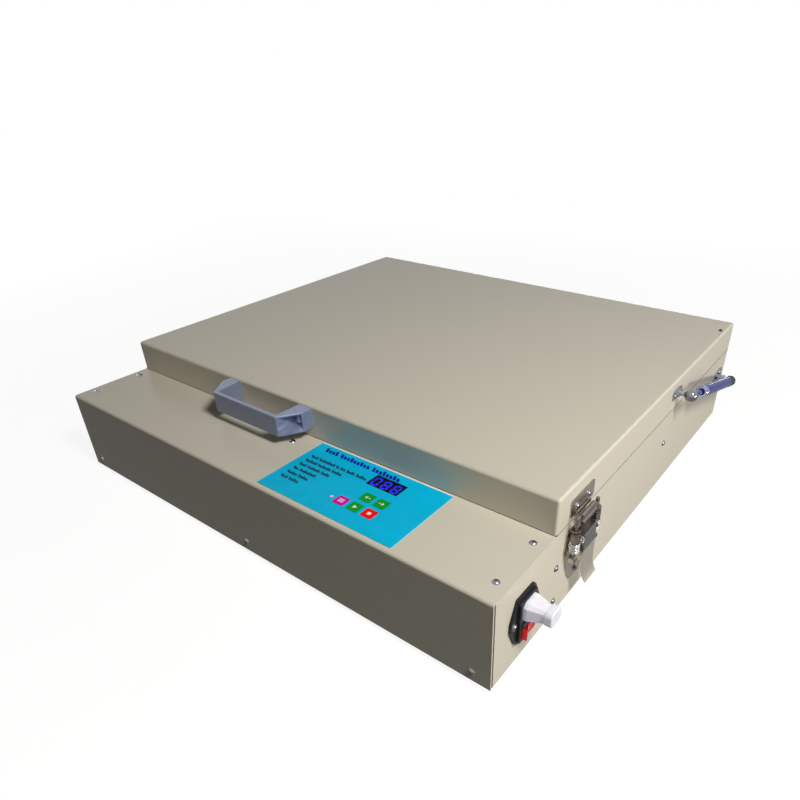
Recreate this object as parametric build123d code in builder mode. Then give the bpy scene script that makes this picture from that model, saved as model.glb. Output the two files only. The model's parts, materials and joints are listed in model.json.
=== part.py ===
"""Bench-top LED exposure unit for screen printing: a low steel cabinet whose front
ledge carries the controls, and a hinged lid that presses a screen onto the glass.

Frame: +X to the cabinet's right, +Y to its back, +Z up. The origin is on the floor,
under the middle of the cabinet. Millimetres.
"""

import os
from math import atan2, cos, degrees, hypot, radians, sin

from build123d import *

os.makedirs("parts", exist_ok=True)

# ------------------------------------------------------------------ driving sizes
# Cabinet
cabinet_width = 670.0
cabinet_depth = 651.0
base_height = 106.5  # underside of the floor sheet to the top of the ledge
ledge_depth = 108.0  # front of the cabinet to the front of the lid
lid_rise = 41.5  # ledge to the top of the lid
sheet = 1.5
bend_radius = 3.0
seam_gap = 1.0  # between the deck and the rim of the lid
piece_gap = 0.3  # between sheets that lie side by side
cover_shadow_gap = 2.2  # behind the front cover, in front of the side walls
flange_width = 12.0
screw_flange_width = 24.0
front_lip_height = 20.0
cover_lap = 18.0  # how far the ledge sheet reaches under the lid
bulkhead_flange = 34.0
bulkhead_setback = 2.0  # bulkhead in front of the lid's front face

# Feet
foot_height = 6.0
foot_radius = 12.0
foot_inset = 45.0

# Glass and deck
glass_thickness = 6.0
glass_clearance = 0.5
glass_ledge = 8.0
deck_front_margin = 34.9
deck_back_margin = 28.0
deck_side_margin = 43.2

# Lamps
tray_height = 30.0  # floor sheet to the top of the LED tray
tray_overlap = 5.0  # how far the tray reaches past the glass on each side
tray_tab_length = 36.0
tray_tab_height = 52.0
tray_screw_offset = 9.8  # middle of the tray to its side screws
tray_screw_rise = 33.7
led_rows = 8
leds_per_row = 14
led_strip_margin = 15.0
led_end_margin = 35.0
led_row_margin = 42.5
led_strip_width = 14.0
led_strip_thickness = 1.6
led_size = 5.0
led_height = 1.2

# Power supply and control board
supply_length = 160.0
supply_width = 82.0
supply_height = 38.0
supply_inset = 165.0  # side of the cabinet to the middle of the supply
supply_slot_length = 18.0
supply_slot_width = 4.0
supply_slot_depth = 1.5
supply_slot_pitch_x = 10.0
supply_slot_pitch_y = 26.0
supply_slots = 9
supply_terminal_length = 12.0
supply_cage_wall = 3.0
board_length = 170.0
board_width = 84.0
board_thickness = 1.6
board_drop = 12.0  # top of the board below the ledge sheet
standoff_radius = 2.5
standoff_inset = 6.0
switch_size = 6.0
switch_clearance = 0.2  # under the key's stem at the end of its travel
stem_rise = 5.0  # top of the board to the end of a key's stem
transformer_length = 34.0
transformer_width = 30.0
transformer_height = 18.0
transformer_x = -55.0
socket_strip_length = 50.0
socket_strip_width = 12.0
socket_strip_height = 10.0
socket_strip_x = 40.0
socket_strip_y = -20.0

# Control panel on the ledge
panel_inset = 208.3  # side of the cabinet to the middle of the panel
panel_length = 186.0
panel_front = 6.0  # front of the cabinet to the panel
panel_width = 99.5
panel_thickness = 0.8
window_length = 42.0
window_width = 20.0
window_offset = 24.3  # middle of the panel to the middle of the window
window_rise = 75.0  # front edge of the panel to the middle of the window
window_recess = 0.4
key_length = 14.5
key_width = 13.6
key_pitch_x = 18.9
key_pitch_y = 19.1
key_offset = 4.4  # middle of the panel to the first key of the front row
key_rise = 27.3  # front edge of the panel to the middle of the front row of keys
key_thickness = 0.6
key_proud = 0.3
key_travel = 0.4
key_clearance = 0.15
key_stem_radius = 1.8
key_stem_clearance = 0.4
lamp_offset = -8.8
lamp_radius = 1.6

# Lid inside
pad_board_thickness = 6.0
pad_board_margin = 16.0
pad_overlap = 10.0  # how far the pad reaches past the glass on each side
pad_thickness = 30.0
seal_width = 10.0
seal_clearance = 0.4
seal_height = 1.6

# Rivet in the right rear corner of the lid's top
lid_rivet_radius = 1.5
lid_rivet_inset = 7.0
lid_rivet_from_back = 44.0

# Handle
handle_x = -57.0
handle_length = 146.0
handle_height = 26.0
handle_reach = 39.0
handle_grip_length = 112.0
handle_foot_depth = 13.0
handle_opening_length = 108.0
handle_wall = 4.2
handle_bottom = 13.5  # ledge to the underside of the handle
handle_edge_radius = 1.2
handle_corner_radius = 3.0
handle_opening_slope = 1.5
handle_opening_radius = 3.0
handle_recess_rim = 1.6  # around the recess in each sloping end
handle_recess_depth = 13.0  # lid to the floor of the recess
handle_recess_floor_length = 13.0
handle_recess_floor_height = 12.6
handle_screw_pitch = 124.0
handle_screw_radius = 3.0
handle_screw_head_radius = 4.8
handle_screw_head_height = 5.0
handle_screw_socket_radius = 2.6
handle_screw_socket_depth = 3.0
handle_nut_radius = 5.2
handle_nut_height = 4.0
handle_pocket_clearance = 1.2
handle_pocket_floor = 7.0

# Screws
screw_radius = 1.95
screw_hole_radius = 2.0
screw_clearance_radius = 2.2
screw_head_radius = 4.0
screw_head_height = 2.2
screw_length = 8.0
ledge_screw_inset = 13.5  # side of the cabinet to a ledge screw
ledge_screw_front = 25.0
ledge_screw_rear = 88.5
ledge_screw_middle = 87.0
front_screw_inset = 20.0
front_screw_rise = 11.5
front_screw_middle_rise = 13.0
side_screw_setback = 8.2  # front of the bulkhead to its side screws
side_screw_low = 20.2
side_screw_high = 63.6

# Lid hinges
hinge_pitch = 440.0
hinge_length = 60.0
hinge_leaf = 2.0
hinge_leaf_height = 30.0
hinge_axis_out = 5.0  # back of the cabinet to the hinge axis
hinge_knuckle_radius = 4.0
hinge_pin_radius = 2.0
hinge_running_clearance = 0.05
hinge_side_gap = 0.3
hinge_web = 2.0  # hinge axis to the edge of a knuckle's web
hinge_open_degrees = 60.0
rivet_head_height = 1.2

# Latches, one on each side of the cabinet
latch_y_from_front = 157.0
latch_plate = 1.5
latch_plate_top = 9.5  # drops below the ledge
latch_plate_shoulder = 32.5
latch_plate_waist = 68.5
latch_plate_foot = 79.5
latch_plate_top_half = 27.0
latch_plate_shoulder_half = 30.0
latch_plate_waist_half = 18.0
latch_plate_foot_half = 11.0
latch_screw_low = 72.0
latch_screw_high = 46.5
latch_screw_pitch = 20.0
latch_pivot_out = 10.0  # side of the cabinet to the lever pivot
latch_pivot_drop = 20.0  # ledge to the lever pivot
latch_bail_out = 7.5
latch_bail_drop = 21.0
latch_bail_spacing = 46.0
latch_lever_width = 28.0
latch_lever_sheet = 1.2
latch_lever_top = 5.2
latch_lever_half_depth = 4.0
latch_lever_flange_drop = 27.0
latch_lever_edge_radius = 1.4
latch_lever_lap = 10.0  # pivot to the root of the finger plate
latch_lever_straight = 38.0
latch_tip_drop = 18.0
latch_tip_flare = 5.0
latch_tip_width = 19.0
latch_ear_sheet = 1.5
latch_ear_radius = 4.6
latch_pin_radius = 2.0
latch_running_clearance = 0.05
latch_side_gap = 0.3
latch_rod_radius = 2.1
latch_eye_radius = 4.2
latch_eye_width = 5.0
latch_spring_radius = 5.8
latch_spring_turns = 6
latch_spring_bottom = 9.0  # bail pin to the first coil
latch_spring_height = 13.5
latch_nut_height = 8.5
latch_nut_radius = 5.2
latch_collar_height = 3.2
latch_collar_radius = 4.8
latch_hook_bottom = 35.5  # bail pin to the foot of the hook plate
latch_hook_top = 47.5
latch_bar_radius = 2.2
catch_half_width = 25.0
catch_height = 20.0
catch_bottom = 6.5  # ledge to the foot of the catch plate
catch_lip = 4.0
catch_screw_pitch = 25.0
catch_screw_rise = 9.0

# Gas struts, one on each side of the cabinet
strut_out = 18.0  # side of the cabinet to the strut's axis
strut_base_from_back = 27.0  # back of the cabinet to the lower ball
strut_base_drop = 36.5  # ledge to the lower ball
strut_lid_from_back = 235.0
strut_lid_rise = 24.5
strut_ball_radius = 7.85
strut_tube_radius = 7.5
strut_bore_radius = 6.2
strut_rod_radius = 3.0
strut_rod_exposed = 48.0
strut_neck_radius = 4.0
strut_neck_length = 14.0
strut_end_wall = 4.0
strut_piston_radius = 6.1
strut_piston_length = 8.0
strut_rod_hidden = 108.0
strut_stud_radius = 3.0
strut_socket_length = 22.0  # neck of the upper ball fitting, from the ball's centre
strut_socket_wall = 0.6
strut_pin_radius = 4.0
strut_running_clearance = 0.05
strut_stud_gap = 0.3
bracket_sheet = 2.0
bracket_length = 28.0
bracket_height = 13.0
bracket_drop = 1.0  # lid bracket's middle under the ball
bracket_screw_pitch = 18.0
base_bracket_foot = 8.0
base_bracket_reach = 25.0
base_bracket_top = 14.0
base_bracket_rise = 17.0
base_bracket_arm = 11.0  # height of the arm that carries the front screw
base_bracket_screw_steps = [(18.0, 8.0), (5.0, 12.2)]  # in front of the lower ball, and above it
ball_nut_radius = 6.2
lid_nut_radius = 5.2
lid_nut_height = 3.0

# Mains inlet on the right side: socket, fuse drawer and rocker switch in one housing
inlet_y_from_front = 52.2
inlet_z_from_floor_sheet = 55.4
inlet_height = 55.8
inlet_top_length = 30.4
inlet_ear_length = 51.2
inlet_ear_height = 8.0
inlet_flange = 3.0
inlet_bezel_length = 30.0
inlet_bezel_height = 50.0
inlet_bezel = 3.0
inlet_body_length = 27.4
inlet_body_height = 47.0
inlet_body_depth = 30.0
inlet_cutout_clearance = 0.3
inlet_screw_pitch = 40.0
socket_length = 24.4
socket_height = 16.4
socket_depth = 20.0
socket_rise = 13.8
blade_length = 16.0
blade_width = 4.0
blade_thickness = 2.0
blade_pitch = 7.0
blade_rise = 2.0
blade_clearance = 0.15
drawer_length = 23.0
drawer_height = 6.6
drawer_depth = 18.0
drawer_rise = -5.2
drawer_proud = 1.0
drawer_clearance = 0.2
drawer_notch_length = 8.0
drawer_notch_height = 1.2
drawer_notch_depth = 0.8
drawer_rim = 2.0
drawer_nose = 4.0
rocker_length = 18.6
rocker_height = 12.4
rocker_rise = -17.2
rocker_end_clearance = 1.2
rocker_pivot_depth = 3.0
rocker_pin_radius = 1.2
rocker_tilt = 11.0
rocker_bay_depth = 14.0
rocker_wing = 2.6  # how far each end stands past the bezel
rocker_valley = 0.4
rocker_belly = 4.5

# Power connector pushed into the inlet
plug_clearance = 0.3
plug_grip_length = 24.0
plug_grip_height = 19.0
plug_grip_depth = 3.0
plug_neck_length = 15.0
plug_neck_height = 12.5
plug_neck_at = 19.5
plug_neck_chamfer = 2.2
plug_collar_length = 19.0
plug_collar_height = 16.5
plug_collar_radius = 5.0
plug_collar_thickness = 7.3
plug_collar_edge = 1.4
plug_edge_radius = 1.0
plug_chamfer = 4.0

# ------------------------------------------------------------------ derived places
front_y = -cabinet_depth / 2
back_y = cabinet_depth / 2
side_x = cabinet_width / 2
base_z = foot_height
floor_z = base_z + sheet
ledge_z = base_z + base_height
lid_front_y = front_y + ledge_depth
lid_bottom_z = ledge_z + seam_gap
lid_top_z = ledge_z + lid_rise
wall_front_y = front_y + sheet + cover_shadow_gap
inner_x = side_x - sheet
under_sheet_z = ledge_z - sheet
cover_back_y = lid_front_y + cover_lap
deck_front_y = cover_back_y + piece_gap
deck_back_y = back_y - sheet - piece_gap
deck_half_x = inner_x - piece_gap
glass_width = deck_back_y - deck_back_margin - deck_front_margin - deck_front_y
glass_length = 2 * (deck_half_x - deck_side_margin)
glass_y = deck_back_y - deck_back_margin - glass_width / 2
glass_top_z = ledge_z - sheet
glass_bottom_z = glass_top_z - glass_thickness
bulkhead_y = lid_front_y - bulkhead_setback
panel_x = side_x - panel_inset
panel_y = front_y + panel_front + panel_width / 2
window_x = panel_x + window_offset
window_y = front_y + panel_front + window_rise
lamp_x = panel_x + lamp_offset
key_first_x = panel_x + key_offset
key_y = front_y + panel_front + key_rise
panel_top_z = ledge_z + panel_thickness
board_top_z = under_sheet_z - board_drop
tray_z = floor_z + tray_height
tray_length = glass_length + 2 * tray_overlap
tray_width = glass_width + 2 * tray_overlap
tray_y = glass_y
led_strip_length = tray_length - 2 * led_strip_margin
led_pitch = (tray_length - 2 * led_end_margin) / (leds_per_row - 1)
led_row_pitch = (tray_width - 2 * led_row_margin) / (led_rows - 1)
supply_x = supply_inset - side_x
strip_z = tray_z
chip_z = strip_z + led_strip_thickness
pad_board_z = lid_top_z - sheet - pad_board_thickness
pad_z = pad_board_z - pad_thickness
pad_length = glass_length + 2 * pad_overlap
pad_width = glass_width + 2 * pad_overlap
seal_z = ledge_z + seal_clearance
lid_flange_z = seal_z + seal_height
hinge_y = back_y + hinge_axis_out
hinge_z = ledge_z + seam_gap / 2
latch_y = front_y + latch_y_from_front
pivot_x = side_x + latch_pivot_out
pivot_z = ledge_z - latch_pivot_drop
bail_x = side_x + latch_bail_out
bail_z = pivot_z - latch_bail_drop
handle_z = ledge_z + handle_bottom + handle_height / 2
strut_x = side_x + strut_out
lower_y = back_y - strut_base_from_back
lower_z = ledge_z - strut_base_drop
upper_y = back_y - strut_lid_from_back
upper_z = ledge_z + strut_lid_rise
strut_closed = hypot(upper_y - lower_y, upper_z - lower_z)
strut_angle = atan2(upper_z - lower_z, lower_y - upper_y)
inlet_y = front_y + inlet_y_from_front
inlet_z = base_z + inlet_z_from_floor_sheet
inlet_face_x = side_x + inlet_flange + inlet_bezel
socket_z = inlet_z + socket_rise
drawer_z = inlet_z + drawer_rise
rocker_z = inlet_z + rocker_rise

# Screw places: on the ledge, on the front and on each side
ledge_screw_x = side_x - ledge_screw_inset
corner_screws = [
    (x, front_y + y)
    for x in (-ledge_screw_x, ledge_screw_x)
    for y in (ledge_screw_front, ledge_screw_rear)
]
middle_screw = (0, front_y + ledge_screw_middle)
ledge_screws = [*corner_screws, middle_screw]
front_screws = [
    (front_screw_inset - side_x, base_z + front_screw_rise),
    (0, base_z + front_screw_middle_rise),
    (side_x - front_screw_inset, base_z + front_screw_rise),
]
bulkhead_screws = [
    (bulkhead_y + side_screw_setback, base_z + side_screw_high),
    (bulkhead_y + side_screw_setback, base_z + side_screw_low),
]
tray_screw_y = tray_y + tray_screw_offset
tray_screw_z = tray_z + tray_screw_rise
side_screws = [*bulkhead_screws, (tray_screw_y, tray_screw_z)]
foot_places = [
    (x * (side_x - foot_inset), y * (cabinet_depth / 2 - foot_inset))
    for x in (-1, 1)
    for y in (-1, 1)
]
key_places = {
    "key_mode": (key_first_x, key_y),
    "key_start": (key_first_x + key_pitch_x, key_y),
    "key_stop": (key_first_x + 2 * key_pitch_x, key_y),
    "key_up": (key_first_x + key_pitch_x, key_y + key_pitch_y),
    "key_down": (key_first_x + 2 * key_pitch_x, key_y + key_pitch_y),
}

lid_rivet_place = (side_x - lid_rivet_inset, back_y - lid_rivet_from_back)

# Screws that hold the hinges, latches and gas struts to the base and to the lid
hinge_places = (-hinge_pitch / 2, hinge_pitch / 2)
leaf_clear = hinge_knuckle_radius + 2 * hinge_side_gap
hinge_screw_dz = leaf_clear + hinge_leaf_height / 2
hinge_screws_x = [x + dx for x in hinge_places for dx in (-hinge_length / 3, hinge_length / 3)]
latch_plate_screws = [
    (latch_y, ledge_z - latch_screw_low),
    (latch_y - latch_screw_pitch / 2, ledge_z - latch_screw_high),
    (latch_y + latch_screw_pitch / 2, ledge_z - latch_screw_high),
]
catch_z = ledge_z + catch_bottom
catch_screw_places = [
    (latch_y + dy, catch_z + catch_screw_rise)
    for dy in (-catch_screw_pitch / 2, catch_screw_pitch / 2)
]
base_bracket_screws = [(lower_y - dy, lower_z + dz) for dy, dz in base_bracket_screw_steps]
lid_bracket_z = upper_z - bracket_drop
lid_bracket_screws = [
    (upper_y + dy, lid_bracket_z) for dy in (-bracket_screw_pitch / 2, bracket_screw_pitch / 2)
]


def finish(piece, name):
    """Label a finished piece and write it to its own file."""
    piece.part.label = name
    export_step(piece.part, f"parts/{name}.step")


def box_between(low, high, mode=Mode.ADD):
    """Add a box between two corners to the part being built."""
    middle = tuple((a + b) / 2 for a, b in zip(low, high))
    size = [b - a for a, b in zip(low, high)]
    with Locations(middle):
        Box(*size, mode=mode)


def mirrored(piece, name):
    """Build the left-hand twin of a right-hand piece."""
    with BuildPart() as twin:
        mirror(piece.part, about=Plane.YZ)
    finish(twin, name)


def side_holes(places, radius, side=1):
    """Drill holes along X through the side of the cabinet or lid being built."""
    with Locations(*[Location((side * side_x, y, z), (0, 90, 0)) for y, z in places]):
        Cylinder(radius, 8 * sheet, mode=Mode.SUBTRACT)


def back_holes(z):
    """Drill the hinge screws' holes through the back being built."""
    with Locations(*[Location((x, back_y, z), (90, 0, 0)) for x in hinge_screws_x]):
        Cylinder(screw_hole_radius, 4 * sheet, mode=Mode.SUBTRACT)


right_face = Plane.YZ.offset(side_x)  # faces out of the cabinet

# A pan-head screw standing on its seat, with its cross recess
with BuildPart() as pan_screw:
    with BuildSketch(Plane.XZ):
        with BuildLine():
            Line((0, 0), (screw_head_radius, 0))
            RadiusArc(
                (screw_head_radius, 0),
                (0, screw_head_height),
                -(screw_head_radius**2 + screw_head_height**2) / (2 * screw_head_height),
            )
            Line((0, screw_head_height), (0, 0))
        make_face()
    revolve(axis=Axis.Z)
    with Locations((0, 0, -screw_length / 2)):
        Cylinder(screw_radius, screw_length)
    recess_depth = screw_head_height / 2
    for turn in (0, 90):
        with Locations(Location((0, 0, screw_head_height), (0, 0, turn))):
            Box(screw_head_radius, screw_head_radius / 4, 2 * recess_depth, mode=Mode.SUBTRACT)

# ------------------------------------------------------------------ base cabinet
with BuildPart() as base_tub:
    box_between((-side_x, wall_front_y, base_z), (side_x, back_y, ledge_z))
    fillet(base_tub.edges().filter_by(Axis.Z).group_by(Axis.Y)[-1], bend_radius)
    fillet(base_tub.faces().sort_by(Axis.Z)[0].edges().filter_by(Axis.Y), bend_radius / 2)
    # Hollow, open at the top and at the front above the lip
    box_between(
        (-inner_x, wall_front_y + sheet, floor_z),
        (inner_x, back_y - sheet, ledge_z),
        mode=Mode.SUBTRACT,
    )
    box_between(
        (-inner_x, wall_front_y, base_z + front_lip_height),
        (inner_x, wall_front_y + sheet, ledge_z),
        mode=Mode.SUBTRACT,
    )
    # The ledge sheet lies over the side walls in front of the lid
    box_between(
        (-side_x, wall_front_y, under_sheet_z),
        (side_x, cover_back_y + piece_gap, ledge_z),
        mode=Mode.SUBTRACT,
    )
    # Flanges under the deck, and wider ones under the ledge for the cover screws
    for side in (-1, 1):
        near = inner_x * side
        for width, y0, y1 in (
            (screw_flange_width, wall_front_y, bulkhead_y - piece_gap),
            (flange_width, bulkhead_y + bulkhead_flange + piece_gap, back_y - sheet),
        ):
            far = near - width * side
            box_between(
                (min(near, far), y0, under_sheet_z - sheet),
                (max(near, far), y1, under_sheet_z),
            )
    box_between(
        (-inner_x, back_y - sheet - flange_width, under_sheet_z - sheet),
        (inner_x, back_y - sheet, under_sheet_z),
    )
    # Holes: cover screws, side screws, feet and the mains inlet
    with Locations(*[(x, y, under_sheet_z) for x, y in corner_screws]):
        Cylinder(screw_hole_radius, 4 * sheet, mode=Mode.SUBTRACT)
    with Locations(*[Location((x, wall_front_y, z), (90, 0, 0)) for x, z in front_screws]):
        Cylinder(screw_hole_radius, 4 * sheet, mode=Mode.SUBTRACT)
    for side in (-1, 1):
        side_holes(side_screws, screw_clearance_radius, side)
        side_holes(latch_plate_screws + base_bracket_screws, screw_hole_radius, side)
    back_holes(hinge_z - hinge_screw_dz)
    with Locations(*[(x, y, base_z) for x, y in foot_places]):
        Cylinder(screw_clearance_radius, 4 * sheet, mode=Mode.SUBTRACT)
    with Locations((side_x, inlet_y, inlet_z)):
        Box(
            4 * sheet,
            inlet_body_length + 2 * inlet_cutout_clearance,
            inlet_body_height + 2 * inlet_cutout_clearance,
            mode=Mode.SUBTRACT,
        )
    with Locations(
        *[
            Location((side_x, inlet_y + dy, inlet_z), (0, 90, 0))
            for dy in (-inlet_screw_pitch / 2, inlet_screw_pitch / 2)
        ]
    ):
        Cylinder(screw_hole_radius, 4 * sheet, mode=Mode.SUBTRACT)
finish(base_tub, "base_tub")

with BuildPart() as front_cover:
    with BuildSketch(Plane.YZ) as cover_profile:
        with BuildLine():
            Polyline(
                (front_y, base_z),
                (front_y, ledge_z),
                (cover_back_y, ledge_z),
                (cover_back_y, under_sheet_z),
                (front_y + sheet, under_sheet_z),
                (front_y + sheet, base_z),
                close=True,
            )
        make_face()
        corner = cover_profile.vertices().group_by(Axis.X)[0].sort_by(Axis.Y)[-1]
        fillet(corner, bend_radius)
        inner_corner = cover_profile.vertices().group_by(Axis.Y)[-2].sort_by(Axis.X)[0]
        fillet(inner_corner, bend_radius - sheet)
    extrude(amount=side_x, both=True)
    with Locations(*[(x, y, ledge_z) for x, y in ledge_screws]):
        Cylinder(screw_clearance_radius, 4 * sheet, mode=Mode.SUBTRACT)
    with Locations(*[Location((x, front_y, z), (90, 0, 0)) for x, z in front_screws]):
        Cylinder(screw_clearance_radius, 4 * sheet, mode=Mode.SUBTRACT)
    # Window for the display, and holes for the lamp and the key stems
    with Locations((window_x, window_y, ledge_z)):
        Box(window_length, window_width, 4 * sheet, mode=Mode.SUBTRACT)
    with Locations((lamp_x, key_y, ledge_z)):
        Cylinder(lamp_radius + key_clearance, 4 * sheet, mode=Mode.SUBTRACT)
    with Locations(*[(x, y, ledge_z) for x, y in key_places.values()]):
        Cylinder(key_stem_radius + key_stem_clearance, 4 * sheet, mode=Mode.SUBTRACT)
finish(front_cover, "front_cover")

with BuildPart() as bulkhead:
    half = inner_x - piece_gap
    top = under_sheet_z
    box_between((-half, bulkhead_y, floor_z), (half, bulkhead_y + sheet, top))
    box_between((-half, bulkhead_y, floor_z), (half, bulkhead_y + flange_width, floor_z + sheet))
    box_between((-half, bulkhead_y, top - sheet), (half, bulkhead_y + bulkhead_flange, top))
    for side in (-1, 1):
        edge = side * inner_x
        box_between(
            (min(edge, edge - side * sheet), bulkhead_y, floor_z),
            (max(edge, edge - side * sheet), bulkhead_y + 2 * side_screw_setback, top - sheet),
        )
    for side in (-1, 1):
        side_holes(bulkhead_screws, screw_hole_radius, side)
    # Lip in front of the bulkhead that takes the middle ledge screw
    box_between(
        (-screw_flange_width, middle_screw[1] - 2 * screw_head_radius, top - sheet),
        (screw_flange_width, bulkhead_y, top),
    )
    with Locations((*middle_screw, top)):
        Cylinder(screw_hole_radius, 4 * sheet, mode=Mode.SUBTRACT)
finish(bulkhead, "bulkhead")

skirt_x = glass_length / 2 + glass_clearance
skirt_y = glass_width / 2 + glass_clearance
with BuildPart() as deck_frame:
    box_between(
        (-deck_half_x, deck_front_y, under_sheet_z), (deck_half_x, deck_back_y, ledge_z)
    )
    # Skirt around the glass opening, and the ledge under the glass
    skirt_low = Plane((0, glass_y, glass_bottom_z - sheet))
    with BuildSketch(skirt_low):
        Rectangle(2 * (skirt_x + sheet), 2 * (skirt_y + sheet))
    extrude(amount=glass_thickness + 2 * sheet)
    with BuildSketch(skirt_low.offset(sheet)):
        Rectangle(2 * skirt_x, 2 * skirt_y)
    extrude(amount=glass_thickness + sheet, mode=Mode.SUBTRACT)
    with BuildSketch(skirt_low):
        Rectangle(2 * (skirt_x - glass_ledge), 2 * (skirt_y - glass_ledge))
    extrude(amount=sheet, mode=Mode.SUBTRACT)
finish(deck_frame, "deck_frame")

with BuildPart() as exposure_glass:
    with Locations((0, glass_y, glass_bottom_z + glass_thickness / 2)):
        Box(glass_length, glass_width, glass_thickness)
    chamfer(exposure_glass.faces().sort_by(Axis.Z)[-1].edges(), 0.8)
finish(exposure_glass, "exposure_glass")

with BuildPart() as led_tray:
    with Locations((0, tray_y, tray_z - sheet / 2)):
        Box(tray_length, tray_width, sheet)
    for side in (-1, 1):
        edge = tray_y + side * tray_width / 2
        box_between(
            (-tray_length / 2, min(edge, edge - side * sheet), floor_z),
            (tray_length / 2, max(edge, edge - side * sheet), tray_z),
        )
    # A tab on each side reaches out to the wall and up to its screw
    for side in (-1, 1):
        tip = side * inner_x
        root = side * tray_length / 2
        tab_low_y = tray_screw_y - tray_tab_length / 2
        tab_high_y = tray_screw_y + tray_tab_length / 2
        box_between(
            (min(tip, root), tab_low_y, tray_z - sheet),
            (max(tip, root), tab_high_y, tray_z),
        )
        box_between(
            (min(tip, tip - side * sheet), tab_low_y, tray_z - sheet),
            (max(tip, tip - side * sheet), tab_high_y, tray_z + tray_tab_height),
        )
        side_holes([(tray_screw_y, tray_screw_z)], screw_hole_radius, side)
finish(led_tray, "led_tray")

with BuildPart() as led_strips:
    with Locations((0, tray_y, strip_z + led_strip_thickness / 2)):
        with GridLocations(0, led_row_pitch, 1, led_rows):
            Box(led_strip_length, led_strip_width, led_strip_thickness)
finish(led_strips, "led_strips")

with BuildPart() as led_chips:
    with Locations((0, tray_y, chip_z + led_height / 2)):
        with GridLocations(led_pitch, led_row_pitch, leds_per_row, led_rows):
            Box(led_size, led_size, led_height)
finish(led_chips, "led_chips")

supply_y = (wall_front_y + sheet + bulkhead_y) / 2
with BuildPart() as power_supply:
    with Locations((supply_x, supply_y, floor_z + supply_height / 2)):
        Box(supply_length, supply_width, supply_height)
    fillet(power_supply.edges().filter_by(Axis.X), 1.5)
    # Slots in the cage, and the open end that bares the terminal strip
    with Locations((supply_x, supply_y, floor_z + supply_height)):
        with GridLocations(supply_slot_pitch_x, supply_slot_pitch_y, supply_slots, 2):
            Box(supply_slot_width, supply_slot_length, 2 * supply_slot_depth, mode=Mode.SUBTRACT)
    with Locations((supply_x + supply_length / 2, supply_y, floor_z + supply_height)):
        Box(
            2 * supply_terminal_length,
            supply_width - 2 * supply_cage_wall,
            supply_height,
            mode=Mode.SUBTRACT,
        )
finish(power_supply, "power_supply")

board_x = (panel_x + window_x) / 2
board_y = panel_y
key_bottom_z = panel_top_z + key_proud - key_thickness
stem_bottom_z = board_top_z + stem_rise
switch_top_z = stem_bottom_z - key_travel - switch_clearance
with BuildPart() as control_board:
    with Locations((board_x, board_y, board_top_z - board_thickness / 2)):
        Box(board_length, board_width, board_thickness)
    # Four standoffs hold the board under the ledge sheet
    with Locations((board_x, board_y, (board_top_z + under_sheet_z) / 2)):
        with GridLocations(
            board_length - 2 * standoff_inset, board_width - 2 * standoff_inset, 2, 2
        ):
            Cylinder(standoff_radius, under_sheet_z - board_top_z)
    # One push switch under each key
    for x, y in key_places.values():
        box_between(
            (x - switch_size / 2, y - switch_size / 2, board_top_z),
            (x + switch_size / 2, y + switch_size / 2, switch_top_z),
        )
    # Transformer and connector blocks on the underside
    board_low_z = board_top_z - board_thickness
    with Locations((board_x + transformer_x, board_y, board_low_z - transformer_height / 2)):
        Box(transformer_length, transformer_width, transformer_height)
    strip_low_z = board_low_z - socket_strip_height / 2
    with Locations((board_x + socket_strip_x, board_y + socket_strip_y, strip_low_z)):
        Box(socket_strip_length, socket_strip_width, socket_strip_height)
finish(control_board, "control_board")

with BuildPart() as display_module:
    display_top_z = under_sheet_z - piece_gap
    with Locations((window_x, window_y, (board_top_z + display_top_z) / 2)):
        Box(window_length - 2, window_width - 2, display_top_z - board_top_z)
finish(display_module, "display_module")

with BuildPart() as display_window:
    window_top_z = panel_top_z - window_recess
    fit = key_clearance
    with Locations((window_x, window_y, (under_sheet_z + window_top_z) / 2)):
        Box(window_length - 2 * fit, window_width - 2 * fit, window_top_z - under_sheet_z)
finish(display_window, "display_window")

with BuildPart() as panel_overlay:
    with BuildSketch(Plane.XY.offset(ledge_z)):
        with Locations((panel_x, panel_y)):
            RectangleRounded(panel_length, panel_width, 1.5)
        with Locations((window_x, window_y)):
            Rectangle(window_length, window_width, mode=Mode.SUBTRACT)
        with Locations((lamp_x, key_y)):
            Circle(lamp_radius + key_clearance, mode=Mode.SUBTRACT)
        with Locations(*key_places.values()):
            RectangleRounded(
                key_length + 2 * key_clearance,
                key_width + 2 * key_clearance,
                1.5,
                mode=Mode.SUBTRACT,
            )
    extrude(amount=panel_thickness)
finish(panel_overlay, "panel_overlay")

with BuildPart() as status_lamp:
    with Locations((lamp_x, key_y, (board_top_z + panel_top_z) / 2)):
        Cylinder(lamp_radius, panel_top_z - board_top_z)
    with Locations((lamp_x, key_y, board_top_z + 1.5)):
        Cylinder(lamp_radius + 0.8, 3)
finish(status_lamp, "status_lamp")

for name, (x, y) in key_places.items():
    with BuildPart() as key:
        with BuildSketch(Plane.XY.offset(key_bottom_z)):
            with Locations((x, y)):
                RectangleRounded(key_length, key_width, 1.4)
        extrude(amount=key_thickness)
        fillet(key.faces().sort_by(Axis.Z)[-1].edges(), 0.25)
        with Locations((x, y, (stem_bottom_z + key_bottom_z) / 2)):
            Cylinder(key_stem_radius, key_bottom_z - stem_bottom_z)
    finish(key, name)

with BuildPart() as rubber_feet:
    with Locations(*[(x, y, foot_height / 2) for x, y in foot_places]):
        Cylinder(foot_radius, foot_height)
    fillet(rubber_feet.faces().filter_by(Axis.Z).group_by(Axis.Z)[0].edges(), 1.5)
    with Locations(*[(x, y, base_z + 2 * sheet) for x, y in foot_places]):
        Cylinder(screw_radius, 4 * sheet)
finish(rubber_feet, "rubber_feet")

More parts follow.
